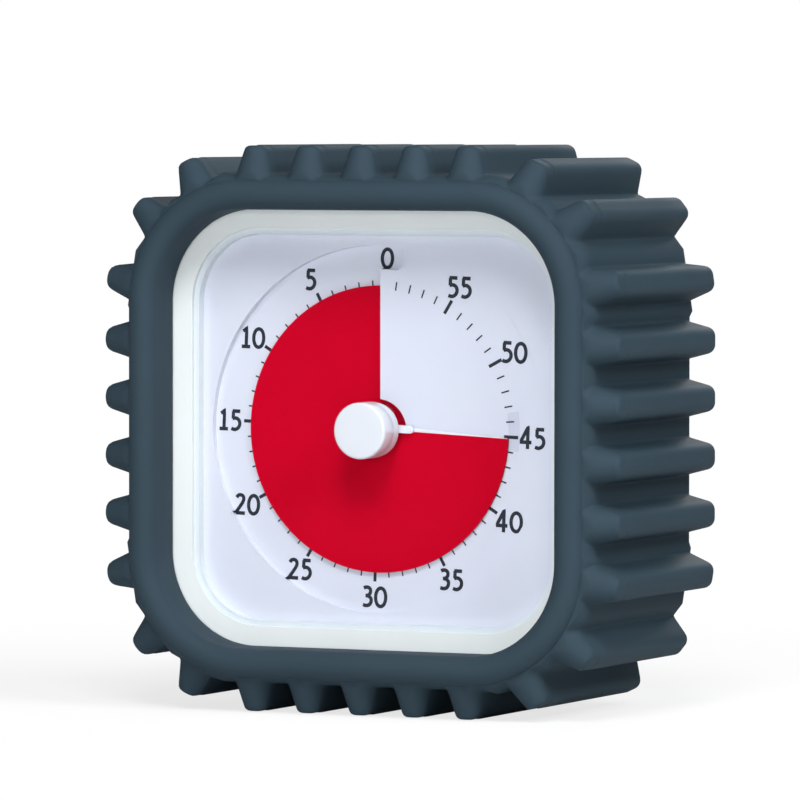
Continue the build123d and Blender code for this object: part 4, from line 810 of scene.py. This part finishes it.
    def back_rings(self) -> list[Ring]:
        """Lay out the ribs' rounded back ends and the sleeve's back edge.

        Returns:
            The rings from there to the back.
        """
        rings = [Ring(self.body_half, self.rib_back + self.end_round, self.rib_height)]
        for turn in between(0.0, math.pi / 2, self.end_steps)[1:]:
            height = self.rib_back + self.end_round * (1 - math.sin(turn))
            inset = self.end_round * (1 - math.cos(turn))
            rings.append(Ring(self.back_half(height), height, self.rib_height - inset, inset))
        for share in between(0.0, 1.0, self.edge_steps)[1:]:
            height = self.rib_back + (self.back - self.rib_back) * share
            cap = (self.rib_height - self.end_round) * (1 - share) + self.lowest * share
            rings.append(Ring(self.back_half(height), height, cap, self.end_round))
        return rings

    def inner_rings(self) -> list[Ring]:
        """Lay out the walls that hold the case and the skirt inside its rim.

        Returns:
            The rings from the back to the window, inside.
        """
        mouth, skirt, foot = self.mouth_cut, self.skirt_half, self.skirt_back
        window, lip = self.window_half, self.window_cut
        return [Ring(half, height) for half, height in (
            (self.cavity_half + mouth, self.back), (self.cavity_half, self.back + mouth),
            (self.cavity_half, 0.0), (self.cavity_half, self.groove_front), (skirt, self.groove_front),
            (skirt, foot + self.skirt_cut), (skirt - self.skirt_cut, foot), (window + lip, foot),
            (window + lip / 4, foot + lip / 4), (window, foot + lip), (window, self.lip_foot),
        )]

    def back_half(self, height: float) -> float:
        """Give the body's half width at a height, rounded off at its back edge."""
        depth = min(max(self.back + self.back_round - height, 0.0), self.back_round)
        return self.body_half - self.back_round + math.sqrt(self.back_round ** 2 - depth ** 2)

    def rib_surface(self, lateral: float, ring: Ring) -> float:
        """Give the skin's height above the body beside the middle of a rib.

        Args:
            lateral: Distance to the side of the rib's middle.
            ring: The ring of the section.

        Returns:
            Height above the body's outline: tip, rounded edge, flank, or the wall between ribs.
        """
        floor = ring.half - self.body_half
        flank = math.tan(math.radians(self.rib_draft))
        if ring.nose:
            return soft_max(floor, self.nose_surface(lateral, ring), self.root_blend)
        share = math.tan(math.radians(90.0 - self.rib_draft) / 2)
        tip = self.rib_tip_half - ring.inset + (self.rib_height - ring.cap) * flank
        rise = max(ring.cap - floor, self.least_rise)
        radius = min(self.rib_round, self.round_to_tip * tip / share, self.round_to_rise * rise)
        centre = tip - radius * share
        if lateral <= centre:
            top = ring.cap
        elif lateral < centre + radius * math.cos(math.radians(self.rib_draft)):
            top = ring.cap - radius + math.sqrt(radius ** 2 - (lateral - centre) ** 2)
        else:
            top = ring.cap + (tip - lateral) / flank
        return soft_max(floor, top, self.root_blend)

    def nose_surface(self, lateral: float, ring: Ring) -> float:
        """Give the height of a rib's round-nosed front end beside the rib's middle.

        Args:
            lateral: Distance to the side of the rib's middle.
            ring: A ring that passes through the front end.

        Returns:
            Height above the body's outline.
        """
        steep = 1 / math.tan(math.radians(self.rib_slope))
        low_wall = self.body_half + self.lowest  # so low that the wall between ribs plays no part
        full = self.rib_surface(lateral, Ring(low_wall, ring.height, self.rib_height))
        round_middle = self.nose_back()
        top = min(ring.cap, full)
        for _ in range(self.settle_steps):
            width = self.rib_tip_half + (self.rib_height - top) * math.tan(math.radians(self.rib_draft))
            radius = min(self.nose_round, width)
            beyond = min(max(lateral - width + radius, 0.0), radius * self.steepest)
            level = ring.height + radius - math.sqrt(radius ** 2 - beyond ** 2)
            cap = self.rib_height
            if level > round_middle:
                turn = min((level - round_middle) / self.end_round, 1.0)
                cap = min(cap, (self.rib_front - level) * steep + self.rib_height,
                          self.rib_height - self.end_round * (1 - math.sqrt(1 - turn ** 2)))
            top = (top + min(cap, full)) / 2
        return soft_min(top, full, self.nose_blend)

    def wall_half(self, line: OutlineSpot, rib: OutlineSpot, ring: Ring) -> float:
        """Find how far out the skin lies on one wall line at one ring.

        Args:
            line: The wall line.
            rib: The line through the middle of the nearest rib.
            ring: One ring of the section.

        Returns:
            The skin's half width on that line.
        """
        if ring.cap is None:
            return ring.half
        root = rib.at(self.body_half, self.flat_half)
        across = Vector((-rib.normal.y, rib.normal.x, 0.0))
        start = line.at(self.body_half, self.flat_half) - root
        lateral, lateral_rate = start.dot(across), line.normal.dot(across)
        out, out_rate = start.dot(rib.normal), line.normal.dot(rib.normal)
        if abs(lateral_rate) < 1e-6:
            return self.body_half + self.rib_surface(abs(lateral), ring)
        low, high = self.lowest, self.rib_height + 1.0
        for _ in range(self.search_steps):
            middle = (low + high) / 2
            below = out + out_rate * middle < self.rib_surface(abs(lateral + lateral_rate * middle), ring)
            low, high = (middle, high) if below else (low, middle)
        return max(self.body_half + low, ring.half)

    def build(self) -> Object:
        """Draw the sleeve by drawing out one ring after another and closing the last on the first.

        Returns:
            The sleeve, riding on its body in place of its CAD solid.
        """
        lines = self.wall_lines()
        mesh = bmesh.new()
        rings = self.front_rings() + self.back_rings() + self.inner_rings()
        verts = [mesh.verts.new(self.ring_point(line, rib, rings[0])) for line, rib in lines]
        edges = [mesh.edges.new(pair) for pair in zip(verts, verts[1:] + verts[:1])]
        start_edges = list(edges)
        for ring in rings[1:]:
            edges, verts = draw_out(mesh, edges, verts)
            for vert, (line, rib) in zip(verts, lines):
                vert.co = self.ring_point(line, rib, ring)
        bmesh.ops.bridge_loops(mesh, edges=edges + start_edges)
        sleeve = self.dial.finish_mesh("ribbed_sleeve", mesh, sharp_degrees=50)
        self.book.dress(sleeve, Look.SILICONE)
        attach(sleeve, "sleeve")
        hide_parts("silicone_sleeve")
        return sleeve

    def ring_point(self, line: OutlineSpot, rib: OutlineSpot, ring: Ring) -> Vector:
        """Give the skin's point on a wall line at a ring."""
        point = line.at(self.wall_half(line, rib, ring), self.flat_half)
        return Vector((point.x, point.y, ring.height))


# ---------------------------------------------------------------- dial print
@dataclass(frozen=True)
class Digit:
    """One printed digit: its width and the middle lines of its strokes, a corner given twice."""

    width: float
    strokes: tuple[tuple[tuple[float, float], ...], ...]


DIGITS = {
    "0": Digit(2.05, (
        ((1.02, 3.4), (0.4, 3.08), (0.07, 2.35), (0.0, 1.7), (0.07, 1.05), (0.4, 0.32), (1.02, 0.0),
         (1.65, 0.32), (1.98, 1.05), (2.05, 1.7), (1.98, 2.35), (1.65, 3.08), (1.02, 3.4)),
    )),
    "1": Digit(1.35, (
        ((0.0, 2.85), (0.35, 3.08), (0.72, 3.4), (0.72, 3.4), (0.72, 0.1)),
        ((-0.2, 0.02), (1.55, 0.02)),
    )),
    "2": Digit(1.7, (
        ((0.05, 2.88), (0.38, 3.28), (0.85, 3.4), (1.33, 3.22), (1.53, 2.72), (1.36, 2.1), (0.88, 1.35),
         (0.1, 0.25), (0.02, 0.1)),
        ((-0.24, 0.02), (1.85, 0.02)),
    )),
    "3": Digit(1.7, (
        ((0.08, 3.22), (0.52, 3.4), (1.08, 3.36), (1.46, 3.0), (1.44, 2.36), (1.05, 1.95), (0.5, 1.84)),
        ((0.5, 1.84), (1.12, 1.76), (1.6, 1.38), (1.66, 0.78), (1.32, 0.2), (0.68, 0.0), (0.02, 0.14)),
    )),
    "4": Digit(1.95, (
        ((1.3, 3.5), (1.22, 3.4), (0.02, 1.12)),
        ((-0.22, 0.94), (2.12, 0.94)),
        ((1.36, 3.68), (1.36, -0.28)),
    )),
    "5": Digit(1.75, (
        ((1.75, 3.4), (0.18, 3.4)),
        ((0.36, 3.4), (0.34, 2.0)),
        ((0.2, 1.98), (0.62, 2.1), (1.12, 2.06), (1.6, 1.66), (1.74, 1.02), (1.5, 0.4), (0.98, 0.03),
         (0.5, 0.0), (0.02, 0.16)),
    )),
}


def smooth_line(corners: Iterable[tuple[float, float]], parts: int = 4) -> list[Vector]:
    """Draw a smooth line through points of the dial plane.

    Args:
        corners: The points, with a point given twice where the line turns sharply.
        parts: Steps between two points.

    Returns:
        The line's points.
    """
    points = [Vector((x, y, 0.0)) for x, y in corners]
    closed = points[0] == points[-1]
    line = [points[0]]
    for number in range(len(points) - 1):
        start, end = points[number], points[number + 1]
        if start == end:
            continue
        before = points[number - 1] if number or not closed else points[-2]
        after = points[number + 2] if number + 2 < len(points) else (points[1] if closed else end)
        leave = (end - (before if number or closed else start)) / 2
        arrive = (after - start) / 2
        for share in between(0.0, 1.0, parts)[1:]:
            square, cube = share ** 2, share ** 3
            line.append(start * (2 * cube - 3 * square + 1) + leave * (cube - 2 * square + share)
                        + end * (3 * square - 2 * cube) + arrive * (cube - square))
    return line


@dataclass
class DialPrint(Drawn):
    """Numbers and minute marks, printed on the dial's ramp."""

    print_turn: float = -2.0
    minor_from: float = 25.8
    minor_to: float = 27.4
    minor_width: float = 0.28
    major_from: float = 25.3
    major_to: float = 28.15
    major_width: float = 0.62
    number_radius: float = 31.0
    zero_radius: float = 31.45
    number_middle: float = 1.7
    stroke_width: float = 0.68
    digit_gap: float = 0.2
    ink_lift: float = 0.012
    stroke_lift: float = 0.002
    ink_thickness: float = 0.012
    corner_limit: float = 0.6
    drop_from: float = 5.0

    def __post_init__(self) -> None:
        """Read the dial plate's surface in the dial frame, for laying print on it."""
        to_dial = self.dial.to_part.inverted()
        data = NODES["dial_plate"].data
        corners = [to_dial @ vert.co for vert in data.vertices]
        self.surface = BVHTree.FromPolygons(corners, [list(polygon.vertices) for polygon in data.polygons])

    def lay(self, mesh: BMesh) -> None:
        """Turn a flat print as it sits on the dial and lower it onto the dial's surface.

        Args:
            mesh: The print, drawn upright at height 0 with its thickness above.
        """
        turn = Matrix.Rotation(math.radians(self.print_turn), 4, "Z")
        bmesh.ops.transform(mesh, matrix=turn, verts=mesh.verts)
        for vert in mesh.verts:
            start = Vector((vert.co.x, vert.co.y, self.drop_from))
            spot, _, _, _ = self.surface.ray_cast(start, Vector((0, 0, -1)))
            level = spot.z if spot else 0.0
            vert.co.z += level + self.ink_lift

    def marks(self) -> BMesh:
        """Draw the minute marks, longer and wider at every fifth, with none at 0.

        Returns:
            All marks as thin tiles on the dial.
        """
        mesh = bmesh.new()
        for minute in range(1, 60):
            major = minute % 5 == 0
            start, end = (self.major_from, self.major_to) if major else (self.minor_from, self.minor_to)
            width = self.major_width if major else self.minor_width
            turn = Matrix.Rotation(math.radians(90.0 + 6.0 * minute), 4, "Z")
            size = Matrix.Diagonal((end - start, width, self.ink_thickness, 1.0))
            middle = Matrix.Translation(((start + end) / 2, 0, self.ink_thickness / 2))
            bmesh.ops.create_cube(mesh, size=1.0, matrix=turn @ middle @ size)
        self.lay(mesh)
        return mesh

    def stroke(self, mesh: BMesh, line: list[Vector], place: Matrix, level: float) -> None:
        """Draw one stroke of a digit as a flat ribbon.

        Args:
            mesh: The print.
            line: The stroke's middle line.
            place: Where the digit stands.
            level: Height of the ribbon, different for strokes that cross.
        """
        closed = line[0] == line[-1]
        edges = ends = None
        for number, point in enumerate(line):
            before = line[number - 1] if number else (line[-2] if closed else 2 * point - line[1])
            after = 2 * point - line[-2]
            if number + 1 < len(line):
                after = line[number + 1]
            elif closed:
                after = line[1]
            arriving, leaving = (point - before).normalized(), (after - point).normalized()
            along = (arriving + leaving).normalized()
            across = Vector((-along.y, along.x, 0.0))
            reach = self.stroke_width / 2 / max(along.dot(arriving), self.corner_limit)
            pair = [place @ (point + across * side * reach) for side in (-1, 1)]
            if edges:
                edges, ends = draw_out(mesh, edges, ends)
            else:
                ends = [mesh.verts.new() for _ in pair]
                edges = [mesh.edges.new(ends)]
            for vert, spot in zip(ends, pair):
                vert.co = (spot.x, spot.y, level)

    def numbers(self) -> BMesh:
        """Draw the numbers 0 to 55, anticlockwise from the top, all upright.

        Returns:
            All numbers as thin tiles on the dial.
        """
        mesh = bmesh.new()
        for minute in range(0, 60, 5):
            digits = [DIGITS[letter] for letter in str(minute)]
            step = self.stroke_width + self.digit_gap
            left = -(sum(digit.width for digit in digits) + step * (len(digits) - 1)) / 2
            middle = polar(self.number_radius if minute else self.zero_radius, 90.0 + 6.0 * minute)
            for digit in digits:
                place = Matrix.Translation(middle + Vector((left, -self.number_middle, 0.0)))
                for number, corners in enumerate(digit.strokes):
                    self.stroke(mesh, smooth_line(corners), place, number * self.stroke_lift)
                left += digit.width + step
        thicken(mesh, self.ink_thickness)
        self.lay(mesh)
        return mesh

    def build(self) -> list[Object]:
        """Print the dial.

        Returns:
            The marks and the numbers, riding on the case.
        """
        prints = []
        for name, mesh in (("minute_marks", self.marks()), ("minute_numbers", self.numbers())):
            piece = self.dial.finish_mesh(name, mesh)
            self.book.dress(piece, Look.DIAL_INK)
            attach(piece, "case")
            prints.append(piece)
        return prints


# ---------------------------------------------------------------- film edge highlight
@dataclass
class EdgeStrip(Drawn):
    """A thin white strip laid along the film's leading edge, tapering towards the rim: a painted highlight
    where the film's edge catches the light.
    """

    inner_radius: float = 7.0
    outer_radius: float = 26.2
    inner_width: float = 0.75
    outer_width: float = 0.1
    thickness: float = 0.2
    sink: float = 0.06
    edge_round: float = 0.04
    lead_angle: float = -2.7

    def build(self) -> Object:
        """Cut the strip and lay it ahead of the film's edge.

        Returns:
            The strip, riding on the disc.
        """
        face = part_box("dial_plate")[0].y
        level = (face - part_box("disc_tab")[1].y) / MM + self.sink
        mesh = bmesh.new()
        outline = [(self.inner_radius, 0.0), (self.outer_radius, 0.0), (self.outer_radius, self.outer_width),
                   (self.inner_radius, self.inner_width)]
        mesh.faces.new([mesh.verts.new((along, across, level)) for along, across in outline])
        thicken(mesh, self.thickness)
        round_edges(mesh, mesh.edges[:], self.edge_round)
        turn = Matrix.Rotation(math.radians(self.lead_angle), 4, "Z")
        bmesh.ops.transform(mesh, matrix=turn, verts=mesh.verts)
        # this white strip is a painted highlight on the film's edge, not a part of the disc
        strip = self.dial.finish_mesh("film_edge_highlight", mesh, sharp_degrees=30)
        self.book.dress(strip, Look.HUB_PLASTIC)
        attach(strip, "time_disc")
        return strip


# ---------------------------------------------------------------- lens
@dataclass
class Lens(Drawn):
    """The clear cover, a flat sheet with softened edges that stands just off its ledge."""

    corner_middle: float = 23.1
    hole_radius: float = 5.55
    ledge_gap: float = 0.03
    edge_round: float = 0.12
    corner_steps: int = 23
    upright: float = 0.5

    def build(self) -> Object:
        """Cut the sheet and round its edges.

        Returns:
            The lens, riding on the case in place of its CAD solid.
        """
        low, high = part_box("lens")
        half = (high.x - low.x) / 2 / MM - self.ledge_gap
        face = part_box("dial_plate")[0].y
        back, front = (face - high.y) / MM + self.ledge_gap, (face - low.y) / MM
        mesh = bmesh.new()
        loops, outer = [], []
        for corner in range(4):
            middle = polar(self.corner_middle * math.sqrt(2), 90.0 * corner + 45.0)
            outer += [middle + polar(half - self.corner_middle, turn)
                      for turn in between(90.0 * corner, 90.0 * corner + 90.0, self.corner_steps)]
        inner = [spot.normalized() * self.hole_radius for spot in outer]
        for points in (outer, inner):
            verts = [mesh.verts.new((spot.x, spot.y, back)) for spot in points]
            loops += [mesh.edges.new(pair) for pair in zip(verts, verts[1:] + verts[:1])]
        bmesh.ops.bridge_loops(mesh, edges=loops)
        rims = [edge for edge in mesh.edges if edge.is_boundary]
        raised = thicken(mesh, front - back)
        rims += [edge for edge in mesh.edges if all(vert in raised for vert in edge.verts)
                 and any(abs(side.normal.z) < self.upright for side in edge.link_faces)]
        bmesh.ops.recalc_face_normals(mesh, faces=mesh.faces)
        round_edges(mesh, rims, self.edge_round)
        lens = self.dial.finish_mesh("clear_lens", mesh, sharp_degrees=30)
        self.book.dress(lens, Look.LENS_SHEET)
        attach(lens, "case")
        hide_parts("lens")
        return lens


# ---------------------------------------------------------------- knob
@dataclass
class Knob(Drawn):
    """The white setting knob, turned as one closed profile."""

    radius: float = 5.2
    collar_radius: float = 5.19
    front: float = 8.1
    collar_front: float = 3.9
    back: float = 1.65
    face_round: float = 0.5
    bore_radius: float = 1.5
    bore_front: float = 7.1
    foot_inset: float = 0.12
    foot_height: float = 1.25
    seam_top: float = 0.12
    seam_depth: float = 0.05
    seam_foot: float = 0.03
    end_lift: float = 0.1
    end_inset: float = 0.25
    face_steps: int = 6
    segments: int = 96

    def profile(self) -> list[tuple[float, float]]:
        """Draw the knob's half section.

        Returns:
            Radius and height of each corner, from the middle of the face to the end of the bore.
        """
        points = [(0.0, self.front), (self.radius * 0.5, self.front)]
        points += [(self.radius - self.face_round * (1 - math.cos(turn)),
                    self.front - self.face_round * (1 - math.sin(turn)))
                   for turn in between(math.pi / 2, 0.0, self.face_steps)]
        seam, collar, foot = self.collar_front, self.collar_radius, self.back + self.foot_height
        points += [
            (self.radius, seam + self.seam_top), (self.radius - self.seam_depth, seam + self.seam_foot),
            (collar, seam), (collar, foot + self.seam_depth), (collar - self.foot_inset, foot),
            (collar - self.foot_inset, self.back + self.end_lift), (collar - self.end_inset, self.back),
            (self.bore_radius, self.back), (self.bore_radius, self.bore_front), (0.0, self.bore_front),
        ]
        return points

    def build(self) -> Object:
        """Turn the knob.

        Returns:
            The knob, riding on the arbor in place of its CAD solid.
        """
        mesh = bmesh.new()
        verts = [mesh.verts.new((radius, 0.0, height)) for radius, height in self.profile()]
        edges = [mesh.edges.new(pair) for pair in zip(verts, verts[1:])]
        bmesh.ops.spin(
            mesh, geom=verts + edges, cent=(0, 0, 0), axis=(0, 0, 1), angle=ONE_TURN, steps=self.segments,
            use_merge=True,
        )
        bmesh.ops.remove_doubles(mesh, verts=mesh.verts, dist=0.001)
        knob = self.dial.finish_mesh("setting_knob", mesh, sharp_degrees=40)
        self.book.dress(knob, Look.KNOB_PLASTIC)
        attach(knob, "setting_arbor")
        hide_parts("knob")
        return knob


# ---------------------------------------------------------------- studio
@dataclass
class Softbox:
    """A rectangular soft lamp aimed at the middle of the timer."""

    name: str
    place: tuple[float, float, float]
    width: float
    height: float
    power: float

    def build(self, target: Vector) -> None:
        """Hang the lamp.

        Args:
            target: The point that it is aimed at.
        """
        lamp = bpy.data.lights.new(self.name, "AREA")
        lamp.shape = "RECTANGLE"
        lamp.size = self.width
        lamp.size_y = self.height
        lamp.energy = self.power
        turn = (target - Vector(self.place)).to_track_quat("-Z", "Y").to_matrix().to_4x4()
        link_object(self.name, lamp, Matrix.Translation(self.place) @ turn)


@dataclass
class Studio:
    """Camera, floor, lamps and world."""

    azimuth: float = 25.2
    elevation: float = 2.31
    roll: float = 0.06
    distance: float = 1.3
    aim: tuple[float, float, float] = (0.00452, -0.01205, 0.05778)
    focal_pixels: float = 7077.4
    picture_pixels: float = 800.0
    sensor: float = 36.0
    floor_size: float = 30.0
    sky: float = 0.11
    middle: tuple[float, float, float] = (0.0, -0.01, 0.05)

    def camera(self) -> None:
        """Set up the camera in front of the dial, a little to its right and above it."""
        turn, lift = math.radians(self.azimuth), math.radians(self.elevation)
        forward = Vector((-math.sin(turn) * math.cos(lift), math.cos(turn) * math.cos(lift), -math.sin(lift)))
        right = Vector((math.cos(turn), math.sin(turn), 0.0))
        upward = right.cross(forward)
        lean = math.radians(self.roll)
        right, upward = (right * math.cos(lean) + upward * math.sin(lean),
                         upward * math.cos(lean) - right * math.sin(lean))
        data = bpy.data.cameras.new("camera")
        data.sensor_width = self.sensor
        data.lens = self.focal_pixels / self.picture_pixels * self.sensor
        data.clip_start = 0.01
        basis = Matrix((right, upward, -forward)).transposed().to_4x4()
        stand = Matrix.Translation(Vector(self.aim) - forward * self.distance)
        bpy.context.scene.camera = link_object("camera", data, stand @ basis)

    def floor(self) -> None:
        """Lay the pale floor, which turns plain white away from the timer."""
        mesh = bmesh.new()
        bmesh.ops.create_grid(mesh, x_segments=4, y_segments=4, size=self.floor_size)
        floor = link_mesh("floor", mesh)
        floor.data.materials.append(FloorPaint("pale matte floor").build())

    def world(self) -> None:
        """Surround the scene with a soft pale light and a white background."""
        world = bpy.data.worlds.new("soft white studio")
        tree = ShaderTree(world)
        path = tree.add("LightPath")
        seen = tree.add(
            "Math", {0: path.outputs["Is Camera Ray"], 1: path.outputs["Is Transmission Ray"]},
            operation="MAXIMUM",
        )
        light = tree.add("Background", Color=linear("#f7f9ff"), Strength=self.sky)
        white = tree.add("Background", Color=linear("#ffffff"), Strength=1.0)
        mixed = tree.add(
            "MixShader",
            {0: seen.outputs["Value"], 1: light.outputs["Background"], 2: white.outputs["Background"]},
        )
        tree.add("OutputWorld", {"Surface": mixed.outputs["Shader"]})
        bpy.context.scene.world = world

    def build(self) -> None:
        """Set up the whole studio."""
        self.camera()
        self.floor()
        self.world()
        lamps = [
            Softbox("top softbox", (0.36, -0.85, 1.1), 0.48, 0.48, 12.0),
            Softbox("side softbox", (0.95, -0.3, 0.75), 0.6, 0.5, 9.3),
            Softbox("front fill", (0.2, -1.34, 0.17), 0.5, 0.28, 5.8),
            Softbox("back fill", (-0.15, 1.3, 0.5), 0.5, 0.4, 4.5),
        ]
        for lamp in lamps:
            lamp.build(Vector(self.middle))
        bpy.context.scene.view_settings.view_transform = "Standard"


def main() -> None:
    """Build the studio, the timer's own pieces and every finish."""
    logging.basicConfig(level=logging.INFO, format="%(name)s: %(message)s")
    book = FinishBook()
    dial = DialFrame()
    Studio().build()
    for look, nodes in FINISHED_NODES.items():
        for node in nodes:
            book.dress(NODES[node], look)
    for kind in (Sleeve, DialPrint, EdgeStrip, Lens, Knob):
        kind(dial, book).build()


if __name__ == "__main__":
    main()
